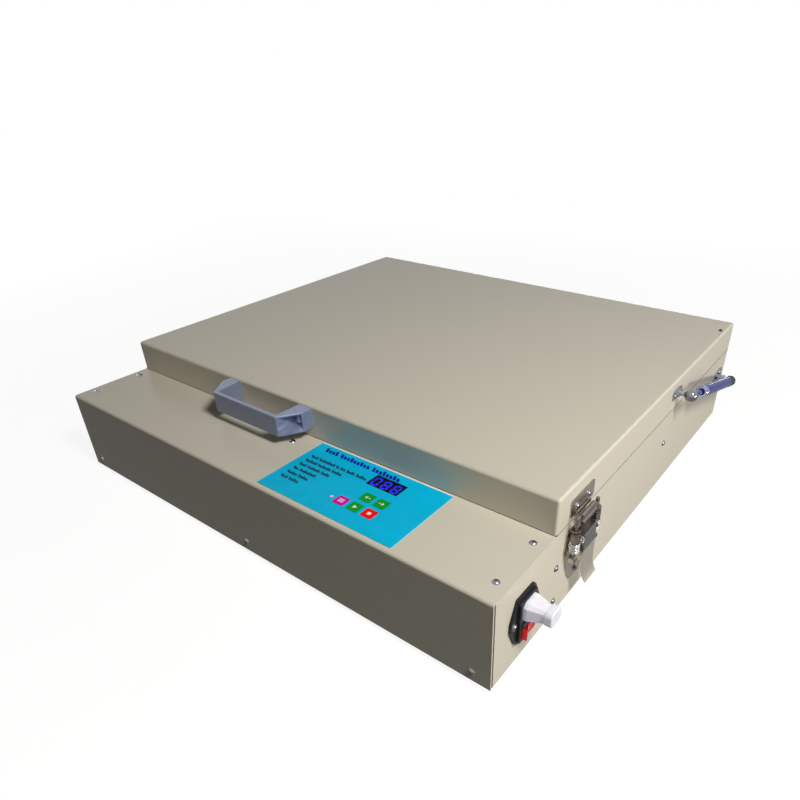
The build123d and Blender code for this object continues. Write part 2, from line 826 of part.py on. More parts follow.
with BuildPart() as cover_screws:
    with Locations(*[(x, y, ledge_z) for x, y in ledge_screws]):
        add(pan_screw.part)
    with Locations(*[Location((x, front_y, z), (90, 0, 0)) for x, z in front_screws]):
        add(pan_screw.part)
finish(cover_screws, "cover_screws")

with BuildPart() as cabinet_side_screws:
    for side in (-1, 1):
        with Locations(
            *[Location((side * side_x, y, z), (0, side * 90, 0)) for y, z in side_screws]
        ):
            add(pan_screw.part)
finish(cabinet_side_screws, "side_screws")

# ------------------------------------------------------------------ lid
with BuildPart() as lid_shell:
    box_between((-side_x, lid_front_y, lid_bottom_z), (side_x, back_y, lid_top_z))
    fillet(lid_shell.edges().filter_by(Axis.Z), bend_radius)
    fillet(lid_shell.faces().sort_by(Axis.Z)[-1].edges(), bend_radius)
    box_between(
        (-inner_x, lid_front_y + sheet, lid_bottom_z),
        (inner_x, back_y - sheet, lid_top_z - sheet),
        mode=Mode.SUBTRACT,
    )
    # Inward flange that carries the seal
    box_between(
        (-inner_x, lid_front_y + sheet, lid_flange_z),
        (inner_x, back_y - sheet, lid_flange_z + sheet),
    )
    box_between(
        (-inner_x + flange_width, lid_front_y + sheet + flange_width, lid_flange_z),
        (inner_x - flange_width, back_y - sheet - flange_width, lid_flange_z + sheet),
        mode=Mode.SUBTRACT,
    )
    with Locations(
        *[
            Location((handle_x + dx, lid_front_y, handle_z), (90, 0, 0))
            for dx in (-handle_screw_pitch / 2, handle_screw_pitch / 2)
        ]
    ):
        Cylinder(handle_screw_radius + piece_gap, 4 * sheet, mode=Mode.SUBTRACT)
    for side in (-1, 1):
        side_holes(catch_screw_places + lid_bracket_screws, screw_hole_radius, side)
    back_holes(hinge_z + hinge_screw_dz)
    with Locations((*lid_rivet_place, lid_top_z)):
        Cylinder(lid_rivet_radius + hinge_running_clearance, 4 * sheet, mode=Mode.SUBTRACT)
finish(lid_shell, "lid_shell")

with BuildPart() as lid_rivet:
    with Locations((*lid_rivet_place, lid_top_z)):
        Cylinder(lid_rivet_radius, 4.0)
        Cylinder(1.7 * lid_rivet_radius, 0.7, align=(Align.CENTER, Align.CENTER, Align.MIN))
    fillet(lid_rivet.edges().sort_by(Axis.Z)[-1], 0.5)
finish(lid_rivet, "lid_rivet")

with BuildPart() as lid_seal:
    with BuildSketch(Plane.XY.offset(seal_z)):
        middle_y = (lid_front_y + back_y) / 2
        seal_length = 2 * (inner_x - piece_gap)
        seal_depth = back_y - lid_front_y - 2 * (sheet + piece_gap)
        with Locations((0, middle_y)):
            Rectangle(seal_length, seal_depth)
            Rectangle(
                seal_length - 2 * seal_width, seal_depth - 2 * seal_width, mode=Mode.SUBTRACT
            )
    extrude(amount=seal_height)
finish(lid_seal, "lid_seal")

with BuildPart() as pad_board:
    box_between(
        (-inner_x + pad_board_margin, lid_front_y + sheet + pad_board_margin, pad_board_z),
        (inner_x - pad_board_margin, back_y - sheet - pad_board_margin, lid_top_z - sheet),
    )
finish(pad_board, "pad_board")

with BuildPart() as foam_pad:
    with BuildSketch(Plane.XY.offset(pad_z)):
        with Locations((0, glass_y)):
            RectangleRounded(pad_length, pad_width, 6)
    extrude(amount=pad_thickness)
finish(foam_pad, "foam_pad")

handle_screw_places = [
    Location((handle_x + dx, lid_front_y - handle_pocket_floor, handle_z), (90, 0, 0))
    for dx in (-handle_screw_pitch / 2, handle_screw_pitch / 2)
]
with BuildPart() as handle:
    foot = handle_length / 2
    grip = handle_grip_length / 2
    hole = handle_opening_length / 2
    handle_low = Plane((handle_x, lid_front_y, handle_z - handle_height / 2))
    with BuildSketch(handle_low) as outline:
        with BuildLine():
            Polyline(
                (-foot, 0),
                (-foot, -handle_foot_depth),
                (-grip, -handle_reach),
                (grip, -handle_reach),
                (foot, -handle_foot_depth),
                (foot, 0),
                close=True,
            )
        make_face()
        fillet(outline.vertices().sort_by(Axis.Y)[:4], handle_corner_radius)
    extrude(amount=handle_height)
    outer_edges = (
        handle.faces().filter_by(Axis.Z).edges().filter_by(lambda e: e.center().Y < lid_front_y - 1)
    )
    fillet(outer_edges, handle_edge_radius)
    # A recess in each sloping end that narrows to the screw, and a pocket for its head
    for side in (-1, 1):
        corner = Vector(handle_x + side * grip, lid_front_y - handle_reach, handle_z)
        shoulder = Vector(handle_x + side * foot, lid_front_y - handle_foot_depth, handle_z)
        slope = shoulder - corner
        outward = Vector(side * slope.Y, -side * slope.X, 0)
        end_plane = Plane(origin=(corner + shoulder) / 2, x_dir=slope, z_dir=outward)
        with BuildSketch(end_plane.offset(handle_edge_radius)):
            Rectangle(slope.length - 2 * handle_recess_rim, handle_height - 2 * handle_recess_rim)
        floor_at = (
            handle_x + side * handle_screw_pitch / 2,
            lid_front_y - handle_recess_depth,
            handle_z,
        )
        with BuildSketch(Plane(origin=floor_at, x_dir=(side, 0, 0), z_dir=(0, -1, 0))):
            Rectangle(handle_recess_floor_length, handle_recess_floor_height)
        loft(mode=Mode.SUBTRACT)
    with BuildSketch(handle_low.offset(-1)) as finger_gap:
        with BuildLine():
            Polyline(
                (-hole, 1),
                (-hole, -handle_foot_depth),
                (-hole + handle_opening_slope, handle_wall - handle_reach),
                (hole - handle_opening_slope, handle_wall - handle_reach),
                (hole, -handle_foot_depth),
                (hole, 1),
                close=True,
            )
        make_face()
        fillet(finger_gap.vertices().sort_by(Axis.Y)[:2], handle_opening_radius)
    extrude(amount=handle_height + 2, mode=Mode.SUBTRACT)
    # Pockets for the screw heads
    with Locations(*handle_screw_places):
        Cylinder(
            handle_screw_head_radius + handle_pocket_clearance,
            handle_reach,
            align=(Align.CENTER, Align.CENTER, Align.MIN),
            mode=Mode.SUBTRACT,
        )
        Cylinder(handle_screw_radius + 0.1, 4 * handle_pocket_floor, mode=Mode.SUBTRACT)
finish(handle, "handle")

with BuildPart() as handle_screws:
    reach = handle_pocket_floor + sheet + handle_nut_height
    with Locations(*handle_screw_places):
        Cylinder(
            handle_screw_head_radius,
            handle_screw_head_height,
            align=(Align.CENTER, Align.CENTER, Align.MIN),
        )
        Cylinder(handle_screw_radius, reach, align=(Align.CENTER, Align.CENTER, Align.MAX))
    for place in handle_screw_places:
        with BuildSketch(Plane(place).offset(handle_screw_head_height)):
            RegularPolygon(handle_screw_socket_radius, 6)
        extrude(amount=-handle_screw_socket_depth, mode=Mode.SUBTRACT)
        with BuildSketch(Plane(place).offset(-reach)):
            RegularPolygon(handle_nut_radius, 6)
        extrude(amount=handle_nut_height)
finish(handle_screws, "handle_screws")

# ------------------------------------------------------------------ lid hinges
knuckle_length = hinge_length / 5
hinge_bore = hinge_pin_radius + hinge_running_clearance


def knuckle(x_low, x_high, web_low, web_high):
    """A hinge knuckle on the hinge axis, with the web that joins it to its leaf."""
    with Locations(Location(((x_low + x_high) / 2, hinge_y, hinge_z), (0, 90, 0))):
        Cylinder(hinge_knuckle_radius, x_high - x_low)
    box_between((x_low, back_y, web_low), (x_high, hinge_y, web_high))


def hinge_bores(x, radius):
    """Cut the pin's bore through one hinge."""
    with Locations(Location((x, hinge_y, hinge_z), (0, 90, 0))):
        Cylinder(radius, 2 * hinge_length, mode=Mode.SUBTRACT)


with BuildPart() as hinge_base_leaves:
    for x in hinge_places:
        low_z = hinge_z - leaf_clear - hinge_leaf_height
        box_between(
            (x - hinge_length / 2, back_y, low_z),
            (x + hinge_length / 2, back_y + hinge_leaf, hinge_z - leaf_clear),
        )
        for step in (-2, 0, 2):
            middle = x + step * knuckle_length
            half = knuckle_length / 2 - hinge_side_gap / 2
            knuckle(middle - half, middle + half, hinge_z - leaf_clear, hinge_z - hinge_web)
        hinge_bores(x, hinge_pin_radius)
    with Locations(
        *[
            Location((x, back_y, hinge_z - hinge_screw_dz), (-90, 0, 0))
            for x in hinge_screws_x
        ]
    ):
        Cylinder(screw_clearance_radius, 4 * hinge_leaf, mode=Mode.SUBTRACT)
finish(hinge_base_leaves, "hinge_base_leaves")

with BuildPart() as hinge_lid_leaves:
    for x in hinge_places:
        high_z = hinge_z + leaf_clear + hinge_leaf_height
        box_between(
            (x - hinge_length / 2, back_y, hinge_z + leaf_clear),
            (x + hinge_length / 2, back_y + hinge_leaf, high_z),
        )
        for step in (-1, 1):
            middle = x + step * knuckle_length
            half = knuckle_length / 2 - hinge_side_gap / 2
            knuckle(middle - half, middle + half, hinge_z + hinge_web, hinge_z + leaf_clear)
        hinge_bores(x, hinge_bore)
    with Locations(
        *[
            Location((x, back_y, hinge_z + hinge_screw_dz), (-90, 0, 0))
            for x in hinge_screws_x
        ]
    ):
        Cylinder(screw_clearance_radius, 4 * hinge_leaf, mode=Mode.SUBTRACT)
finish(hinge_lid_leaves, "hinge_lid_leaves")

with BuildPart() as hinge_pins:
    with Locations(*[Location((x, hinge_y, hinge_z), (0, 90, 0)) for x in hinge_places]):
        Cylinder(hinge_pin_radius, hinge_length)
        head_middle = (hinge_length + rivet_head_height) / 2
        with Locations((0, 0, head_middle), (0, 0, -head_middle)):
            Cylinder(1.4 * hinge_pin_radius, rivet_head_height)
finish(hinge_pins, "hinge_pins")

hinge_screw_stack = back_y + hinge_leaf
for name, sign in (("hinge_base_screws", -1), ("hinge_lid_screws", 1)):
    with BuildPart() as screws:
        with Locations(
            *[
                Location((x, hinge_screw_stack, hinge_z + sign * hinge_screw_dz), (-90, 0, 0))
                for x in hinge_screws_x
            ]
        ):
            add(pan_screw.part)
    finish(screws, name)

# ------------------------------------------------------------------ side latches
lever_half = latch_lever_width / 2
ear_inner = lever_half + latch_side_gap
ear_outer = ear_inner + latch_ear_sheet
rod_dy = latch_bail_spacing / 2
latch_plate_x = side_x + latch_plate
plate_half_outline = [
    (latch_plate_top_half, latch_plate_top),
    (latch_plate_shoulder_half, latch_plate_shoulder),
    (latch_plate_waist_half, latch_plate_waist),
    (latch_plate_foot_half, latch_plate_foot),
]
plate_points = plate_half_outline + [(-y, z) for y, z in reversed(plate_half_outline)]

with BuildPart() as latch_base_right:
    with BuildSketch(right_face) as plate_outline:
        with BuildLine():
            Polyline(*[(latch_y + dy, ledge_z - dz) for dy, dz in plate_points], close=True)
        make_face()
        fillet(plate_outline.vertices(), 3)
        with Locations(*latch_plate_screws):
            Circle(screw_clearance_radius, mode=Mode.SUBTRACT)
    extrude(amount=latch_plate)
    for side in (-1, 1):
        start_y = latch_y + min(side * ear_inner, side * ear_outer)
        ear_plane = Plane(origin=(0, start_y, 0), x_dir=(1, 0, 0), z_dir=(0, -1, 0))
        with BuildSketch(ear_plane):
            with BuildLine():
                Polyline(
                    (side_x, pivot_z - 2 * latch_ear_radius),
                    (pivot_x, pivot_z - latch_ear_radius),
                    (pivot_x, pivot_z + latch_ear_radius),
                    (side_x, pivot_z + 1.5 * latch_ear_radius),
                    close=True,
                )
            make_face()
            with Locations((pivot_x, pivot_z)):
                Circle(latch_ear_radius)
                Circle(latch_pin_radius, mode=Mode.SUBTRACT)
        extrude(amount=-latch_ear_sheet)
finish(latch_base_right, "latch_base_right")
mirrored(latch_base_right, "latch_base_left")

with BuildPart() as latch_pivot_pins:
    with Locations(Location((pivot_x, latch_y, pivot_z), (90, 0, 0))):
        Cylinder(latch_pin_radius, 2 * ear_outer)
        head_middle = ear_outer + rivet_head_height / 2
        with Locations((0, 0, head_middle), (0, 0, -head_middle)):
            Cylinder(1.5 * latch_pin_radius, rivet_head_height)
    mirror(about=Plane.YZ)
finish(latch_pivot_pins, "latch_pivot_pins")

with BuildPart() as latch_screws:
    for side in (-1, 1):
        with Locations(
            *[
                Location((side * latch_plate_x, y, z), (0, side * 90, 0))
                for y, z in latch_plate_screws
            ]
        ):
            add(pan_screw.part)
finish(latch_screws, "latch_screws")

lever_out_x = pivot_x + latch_lever_half_depth
lever_in_x = pivot_x - latch_lever_half_depth
lever_top_z = pivot_z + latch_lever_top
lever_tip_z = pivot_z - latch_lever_straight
plate_root_z = pivot_z - latch_lever_lap
with BuildPart() as latch_lever_right:
    # Channel around the pivot, closed at the top and open towards the cabinet
    box_between(
        (lever_in_x, latch_y - lever_half, pivot_z - latch_lever_flange_drop),
        (lever_out_x, latch_y + lever_half, lever_top_z),
    )
    fillet(latch_lever_right.faces().sort_by(Axis.X)[-1].edges(), latch_lever_edge_radius)
    box_between(
        (
            lever_in_x,
            latch_y - lever_half + latch_lever_sheet,
            pivot_z - latch_lever_flange_drop,
        ),
        (
            lever_out_x - latch_lever_sheet,
            latch_y + lever_half - latch_lever_sheet,
            lever_top_z - latch_lever_sheet,
        ),
        mode=Mode.SUBTRACT,
    )
    # Finger plate: straight, then flared away from the cabinet and narrowed
    with BuildSketch(Plane.XZ.offset(-latch_y)) as lever_profile:
        with BuildLine():
            Line((lever_out_x, plate_root_z), (lever_out_x, lever_tip_z))
            RadiusArc(
                (lever_out_x, lever_tip_z),
                (lever_out_x + latch_tip_flare, lever_tip_z - latch_tip_drop),
                -(latch_tip_flare**2 + latch_tip_drop**2) / (2 * latch_tip_flare),
            )
            inner_tip = (
                lever_out_x + latch_tip_flare - latch_lever_sheet,
                lever_tip_z - latch_tip_drop - 0.3,
            )
            Line((lever_out_x + latch_tip_flare, lever_tip_z - latch_tip_drop), inner_tip)
            RadiusArc(
                inner_tip,
                (lever_out_x - latch_lever_sheet, lever_tip_z),
                (latch_tip_flare**2 + latch_tip_drop**2) / (2 * latch_tip_flare),
            )
            Polyline(
                (lever_out_x - latch_lever_sheet, lever_tip_z),
                (lever_out_x - latch_lever_sheet, plate_root_z),
                (lever_out_x, plate_root_z),
            )
        make_face()
    extrude(amount=lever_half, both=True)
    with BuildSketch(Plane.YZ.offset(side_x)) as lever_trim:
        tip_low = lever_tip_z - latch_tip_drop - 2
        with BuildLine():
            Polyline(
                (latch_y - lever_half, lever_tip_z + 6),
                (latch_y - latch_tip_width / 2, tip_low),
                (latch_y - lever_half - 2, tip_low),
                (latch_y - lever_half - 2, lever_tip_z + 6),
                close=True,
            )
        make_face()
        mirror(about=Plane.XZ.offset(-latch_y))
    extrude(amount=3 * latch_pivot_out, mode=Mode.SUBTRACT)
    # Bores for the pivot pin, and the pin that carries the bail
    with Locations(Location((pivot_x, latch_y, pivot_z), (90, 0, 0))):
        Cylinder(
            latch_pin_radius + latch_running_clearance, 2 * latch_lever_width, mode=Mode.SUBTRACT
        )
    with Locations(Location((bail_x, latch_y, bail_z), (90, 0, 0))):
        Cylinder(latch_pin_radius, latch_bail_spacing + latch_eye_width + 1.0)
        with Locations(
            (0, 0, rod_dy + latch_eye_width / 2 + 0.9), (0, 0, -rod_dy - latch_eye_width / 2 - 0.9)
        ):
            Cylinder(latch_pin_radius + 1.0, 1.0)
finish(latch_lever_right, "latch_lever_right")
mirrored(latch_lever_right, "latch_lever_left")

hook_low_z = bail_z + latch_hook_bottom
hook_high_z = bail_z + latch_hook_top
with BuildPart() as latch_bail_right:
    for side in (-1, 1):
        y = latch_y + side * rod_dy
        with Locations(Location((bail_x, y, bail_z), (90, 0, 0))):
            Cylinder(latch_eye_radius, latch_eye_width)
        with Locations((bail_x, y, (bail_z + hook_high_z) / 2)):
            Cylinder(latch_rod_radius, hook_high_z - bail_z)
        # Nut and two collars above the spring
        nut_z = bail_z + latch_spring_bottom + latch_spring_height
        with BuildSketch(Plane.XY.offset(nut_z)):
            with Locations((bail_x, y)):
                RegularPolygon(latch_nut_radius, 6)
        extrude(amount=latch_nut_height)
        collar_z = nut_z + latch_nut_height
        with Locations(
            (bail_x, y, collar_z + latch_collar_height / 2),
            (bail_x, y, collar_z + 1.6 * latch_collar_height),
        ):
            Cylinder(latch_collar_radius, 0.7 * latch_collar_height)
    # Hook plate between the rods: foot, bar and rolled top
    plate_out_x = bail_x + latch_rod_radius
    box_between(
        (plate_out_x - latch_lever_sheet, latch_y - rod_dy, hook_high_z - 8),
        (plate_out_x, latch_y + rod_dy, hook_high_z - 2),
    )
    box_between(
        (plate_out_x - latch_lever_sheet, latch_y - lever_half, hook_low_z),
        (plate_out_x, latch_y + lever_half, hook_high_z - 1),
    )
    with Locations(Location((plate_out_x - 0.4, latch_y, hook_low_z + 5), (90, 0, 0))):
        Cylinder(latch_bar_radius, latch_lever_width + 2)
    with Locations(Location((bail_x + 0.4, latch_y, hook_high_z), (90, 0, 0))):
        Cylinder(latch_bar_radius, latch_lever_width)
    with Locations(Location((bail_x, latch_y, bail_z), (90, 0, 0))):
        Cylinder(
            latch_pin_radius + latch_running_clearance, 2 * latch_bail_spacing, mode=Mode.SUBTRACT
        )
finish(latch_bail_right, "latch_bail_right")
mirrored(latch_bail_right, "latch_bail_left")

with BuildPart() as latch_springs_right:
    # Closed coils drawn as rings that touch, two of them one on each rod
    coil_pitch = latch_spring_height / latch_spring_turns
    coil_middle = latch_spring_radius - coil_pitch / 2
    with Locations((bail_x, latch_y, bail_z + latch_spring_bottom + coil_pitch / 2)):
        with GridLocations(0, latch_bail_spacing, 1, 2):
            with Locations(*[(0, 0, i * coil_pitch) for i in range(latch_spring_turns)]):
                Torus(coil_middle, coil_pitch / 2 * 0.98)
    with Locations((bail_x, latch_y, bail_z + latch_spring_bottom + latch_spring_height / 2)):
        with GridLocations(0, latch_bail_spacing, 1, 2):
            Cylinder(coil_middle, latch_spring_height - 0.2)
            Cylinder(latch_rod_radius, latch_spring_height + 2, mode=Mode.SUBTRACT)
finish(latch_springs_right, "latch_springs_right")
mirrored(latch_springs_right, "latch_springs_left")

with BuildPart() as latch_catches:
    with BuildSketch(right_face) as catch_outline:
        with Locations((latch_y, catch_z + catch_height / 2)):
            RectangleRounded(2 * catch_half_width, catch_height, 3)
        with Locations(*catch_screw_places):
            Circle(screw_clearance_radius, mode=Mode.SUBTRACT)
    extrude(amount=latch_plate)
    # Lip that the hook bears on
    box_between(
        (side_x, latch_y - lever_half, catch_z),
        (side_x + catch_lip, latch_y + lever_half, catch_z + latch_plate),
    )
    box_between(
        (side_x + catch_lip - latch_plate, latch_y - lever_half, catch_z),
        (side_x + catch_lip, latch_y + lever_half, catch_z + 3.2),
    )
    mirror(about=Plane.YZ)
finish(latch_catches, "latch_catches")

with BuildPart() as catch_screws:
    for side in (-1, 1):
        with Locations(
            *[
                Location((side * latch_plate_x, y, z), (0, side * 90, 0))
                for y, z in catch_screw_places
            ]
        ):
            add(pan_screw.part)
finish(catch_screws, "catch_screws")

# ------------------------------------------------------------------ gas struts
strut_dir = (0, -cos(strut_angle), sin(strut_angle))
strut_plane = Plane(origin=(strut_x, lower_y, lower_z), x_dir=(1, 0, 0), z_dir=strut_dir)
tube_end = strut_closed - strut_rod_exposed
bracket_face_x = side_x + bracket_sheet

with BuildPart() as strut_base_brackets:
    with BuildSketch(right_face) as bracket_outline:
        with BuildLine():
            foot_y = base_bracket_foot
            Polyline(
                (lower_y - foot_y, lower_z - foot_y),
                (lower_y + foot_y, lower_z - foot_y),
                (lower_y + foot_y, lower_z + 1.5 * foot_y),
                (lower_y + 3, lower_z + base_bracket_rise),
                (lower_y - base_bracket_reach, lower_z + base_bracket_top),
                (lower_y - base_bracket_reach, lower_z + base_bracket_top - base_bracket_arm),
                close=True,
            )
        make_face()
        fillet(bracket_outline.vertices(), 3)
        with Locations(*base_bracket_screws):
            Circle(screw_clearance_radius, mode=Mode.SUBTRACT)
    extrude(amount=bracket_sheet)
    stud_end = strut_x + strut_ball_radius - 3.0
    with BuildSketch(Plane.YZ.offset(bracket_face_x)):
        with Locations((lower_y, lower_z)):
            Circle(strut_pin_radius)
    extrude(amount=stud_end - bracket_face_x)
    with BuildSketch(Plane.YZ.offset(bracket_face_x)):
        with Locations((lower_y, lower_z)):
            RegularPolygon(ball_nut_radius, 6)
    extrude(amount=strut_out - bracket_sheet - strut_ball_radius - strut_stud_gap)
    mirror(about=Plane.YZ)
finish(strut_base_brackets, "strut_base_brackets")

with BuildPart() as strut_lid_brackets:
    with BuildSketch(right_face) as lid_bracket_outline:
        with Locations((upper_y, lid_bracket_z)):
            RectangleRounded(bracket_length, bracket_height, 4)
        with Locations(*lid_bracket_screws):
            Circle(screw_clearance_radius, mode=Mode.SUBTRACT)
    extrude(amount=bracket_sheet)
    with BuildSketch(Plane.YZ.offset(bracket_face_x)):
        with Locations((upper_y, upper_z)):
            Circle(strut_stud_radius)
    extrude(amount=strut_out - bracket_sheet - strut_ball_radius - strut_stud_gap)
    with BuildSketch(Plane.YZ.offset(bracket_face_x)):
        with Locations((upper_y, upper_z)):
            RegularPolygon(lid_nut_radius, 6)
    extrude(amount=lid_nut_height)
    mirror(about=Plane.YZ)
finish(strut_lid_brackets, "strut_lid_brackets")

for name, places in (
    ("strut_base_screws", base_bracket_screws),
    ("strut_lid_screws", lid_bracket_screws),
):
    with BuildPart() as screws:
        for side in (-1, 1):
            with Locations(
                *[Location((side * bracket_face_x, y, z), (0, side * 90, 0)) for y, z in places]
            ):
                add(pan_screw.part)
    finish(screws, name)

with BuildPart() as strut_cylinder_right:
    with Locations((strut_x, lower_y, lower_z)):
        Sphere(strut_ball_radius)
    with BuildSketch(strut_plane):
        Circle(strut_neck_radius)
    extrude(amount=strut_neck_length)
    with BuildSketch(strut_plane.offset(strut_neck_length)):
        Circle(strut_tube_radius)
    extrude(amount=tube_end - strut_neck_length)
    strut_axis = Axis(strut_plane.origin, strut_plane.z_dir)
    fillet(strut_cylinder_right.edges().filter_by(GeomType.CIRCLE).sort_by(strut_axis)[-1], 1.2)
    with BuildSketch(strut_plane.offset(strut_neck_length + strut_end_wall)):
        Circle(strut_bore_radius)
    extrude(amount=tube_end - strut_neck_length - 2 * strut_end_wall, mode=Mode.SUBTRACT)
    with BuildSketch(strut_plane.offset(tube_end + 1)):
        Circle(strut_rod_radius + strut_running_clearance)
    extrude(amount=-2 * strut_end_wall, mode=Mode.SUBTRACT)
    # Blind bore that turns on the bracket's stud
    with BuildSketch(Plane.YZ.offset(strut_x - 2 * strut_ball_radius)):
        with Locations((lower_y, lower_z)):
            Circle(strut_pin_radius + strut_running_clearance)
    extrude(amount=stud_end - strut_x + 2 * strut_ball_radius + strut_stud_gap, mode=Mode.SUBTRACT)
finish(strut_cylinder_right, "strut_cylinder_right")
mirrored(strut_cylinder_right, "strut_cylinder_left")

with BuildPart() as strut_rod_right:
    with Locations((strut_x, upper_y, upper_z)):
        Sphere(strut_ball_radius)
    rod_start = strut_closed - strut_ball_radius - strut_rod_hidden
    with BuildSketch(strut_plane.offset(rod_start)):
        Circle(strut_rod_radius)
    extrude(amount=strut_closed - rod_start)
    with BuildSketch(strut_plane.offset(rod_start)):
        Circle(strut_piston_radius)
    extrude(amount=strut_piston_length)
    # Neck of the ball fitting, screwed onto the rod
    with BuildSketch(strut_plane.offset(strut_closed - strut_socket_length)):
        Circle(strut_neck_radius + strut_socket_wall)
    extrude(amount=strut_socket_length - strut_stud_radius)
finish(strut_rod_right, "strut_rod_right")
mirrored(strut_rod_right, "strut_rod_left")

# ------------------------------------------------------------------ mains inlet
ear = inlet_ear_length / 2
ear_top = inlet_ear_height / 2
flat = inlet_top_length / 2
tall = inlet_height / 2
with BuildPart() as inlet_housing:
    with BuildSketch(Plane((side_x, inlet_y, inlet_z), (0, 1, 0), (1, 0, 0))) as flange_outline:
        with BuildLine():
            Polyline(
                (-flat, tall), (flat, tall), (ear, ear_top), (ear, -ear_top),
                (flat, -tall), (-flat, -tall), (-ear, -ear_top), (-ear, ear_top),
                close=True,
            )
        make_face()
        fillet(flange_outline.vertices(), 3)
    extrude(amount=inlet_flange)
    with BuildSketch(right_face.offset(inlet_flange)):
        with Locations((inlet_y, inlet_z)):
            RectangleRounded(inlet_bezel_length, inlet_bezel_height, 2.5)
    extrude(amount=inlet_bezel)
    fillet(inlet_housing.faces().sort_by(Axis.X)[-1].edges(), 0.8)
    box_between(
        (
            side_x - inlet_body_depth,
            inlet_y - inlet_body_length / 2,
            inlet_z - inlet_body_height / 2,
        ),
        (side_x, inlet_y + inlet_body_length / 2, inlet_z + inlet_body_height / 2),
    )
    # Socket, with the chamfered upper corners of this connector family
    with BuildSketch(Plane.YZ.offset(inlet_face_x)) as socket_outline:
        with Locations((inlet_y, socket_z)):
            Rectangle(socket_length, socket_height)
        chamfer(socket_outline.vertices().group_by(Axis.Y)[-1], plug_chamfer)
    extrude(amount=-socket_depth, mode=Mode.SUBTRACT)
    # Fuse drawer bay and rocker bay
    for z, length, height, depth in (
        (drawer_z, drawer_length, drawer_height, drawer_depth + drawer_clearance),
        (rocker_z, rocker_length + 2 * rocker_end_clearance, rocker_height, rocker_bay_depth),
    ):
        margin = 2 * drawer_clearance
        box_between(
            (inlet_face_x - depth, inlet_y - (length + margin) / 2, z - (height + margin) / 2),
            (inlet_face_x, inlet_y + (length + margin) / 2, z + (height + margin) / 2),
            mode=Mode.SUBTRACT,
        )
    # Seats for the rocker's pin, above and below it
    with Locations((inlet_face_x - rocker_pivot_depth, inlet_y, rocker_z)):
        Cylinder(
            rocker_pin_radius + hinge_running_clearance, rocker_height + 3.6, mode=Mode.SUBTRACT
        )
    with Locations(
        *[
            Location((side_x, inlet_y + dy, inlet_z), (0, 90, 0))
            for dy in (-inlet_screw_pitch / 2, inlet_screw_pitch / 2)
        ]
    ):
        Cylinder(screw_clearance_radius, 4 * inlet_flange, mode=Mode.SUBTRACT)
finish(inlet_housing, "inlet_housing")

blade_places = [(-blade_pitch, -blade_rise), (0, blade_rise), (blade_pitch, -blade_rise)]
socket_floor_x = inlet_face_x - socket_depth
with BuildPart() as inlet_pins:
    for dy, dz in blade_places:
        with Locations((socket_floor_x + blade_length / 2, inlet_y + dy, socket_z + dz)):
            Box(blade_length, blade_thickness, blade_width)
finish(inlet_pins, "inlet_pins")

with BuildPart() as inlet_screws:
    with Locations(
        *[
            Location((side_x + inlet_flange, inlet_y + dy, inlet_z), (0, 90, 0))
            for dy in (-inlet_screw_pitch / 2, inlet_screw_pitch / 2)
        ]
    ):
        add(pan_screw.part)
finish(inlet_screws, "inlet_screws")

with BuildPart() as fuse_drawer:
    box_between(
        (
            inlet_face_x - drawer_depth,
            inlet_y - drawer_length / 2,
            drawer_z - drawer_height / 2,
        ),
        (inlet_face_x + drawer_proud, inlet_y + drawer_length / 2, drawer_z + drawer_height / 2),
    )
    fillet(fuse_drawer.faces().sort_by(Axis.X)[-1].edges(), 0.5)
    # Finger notch, and the trough that holds the fuse
    with Locations((inlet_face_x + drawer_proud, inlet_y, drawer_z - drawer_height / 2)):
        Box(
            2 * drawer_notch_depth,
            drawer_notch_length,
            2 * drawer_notch_height,
            mode=Mode.SUBTRACT,
        )
    box_between(
        (
            inlet_face_x - drawer_depth + drawer_rim,
            inlet_y - drawer_length / 2 + drawer_rim,
            drawer_z,
        ),
        (
            inlet_face_x - drawer_nose,
            inlet_y + drawer_length / 2 - drawer_rim,
            drawer_z + drawer_height,
        ),
        mode=Mode.SUBTRACT,
    )
finish(fuse_drawer, "fuse_drawer")

rocker_x = inlet_face_x - rocker_pivot_depth
with BuildPart() as rocker_switch:
    # Seen from above the rocker is a shallow V, drawn tipped into its rest position
    half = rocker_length / 2
    tip_x = cos(radians(rocker_tilt))
    tip_y = sin(radians(rocker_tilt))
    rocker_low = (rocker_x, inlet_y, rocker_z - rocker_height / 2)
    with BuildSketch(Plane(rocker_low, (tip_x, tip_y, 0), (0, 0, 1))):
        with BuildLine():
            Polyline(
                (rocker_pivot_depth + rocker_wing, -half),
                (rocker_pivot_depth + rocker_valley, 0),
                (rocker_pivot_depth + rocker_wing, half),
                (-1, half),
                (-rocker_belly, 0),
                (-1, -half),
                close=True,
            )
        make_face()
    extrude(amount=rocker_height)
    with Locations((rocker_x, inlet_y, rocker_z)):
        Cylinder(rocker_pin_radius, rocker_height + 3)
finish(rocker_switch, "rocker_switch")

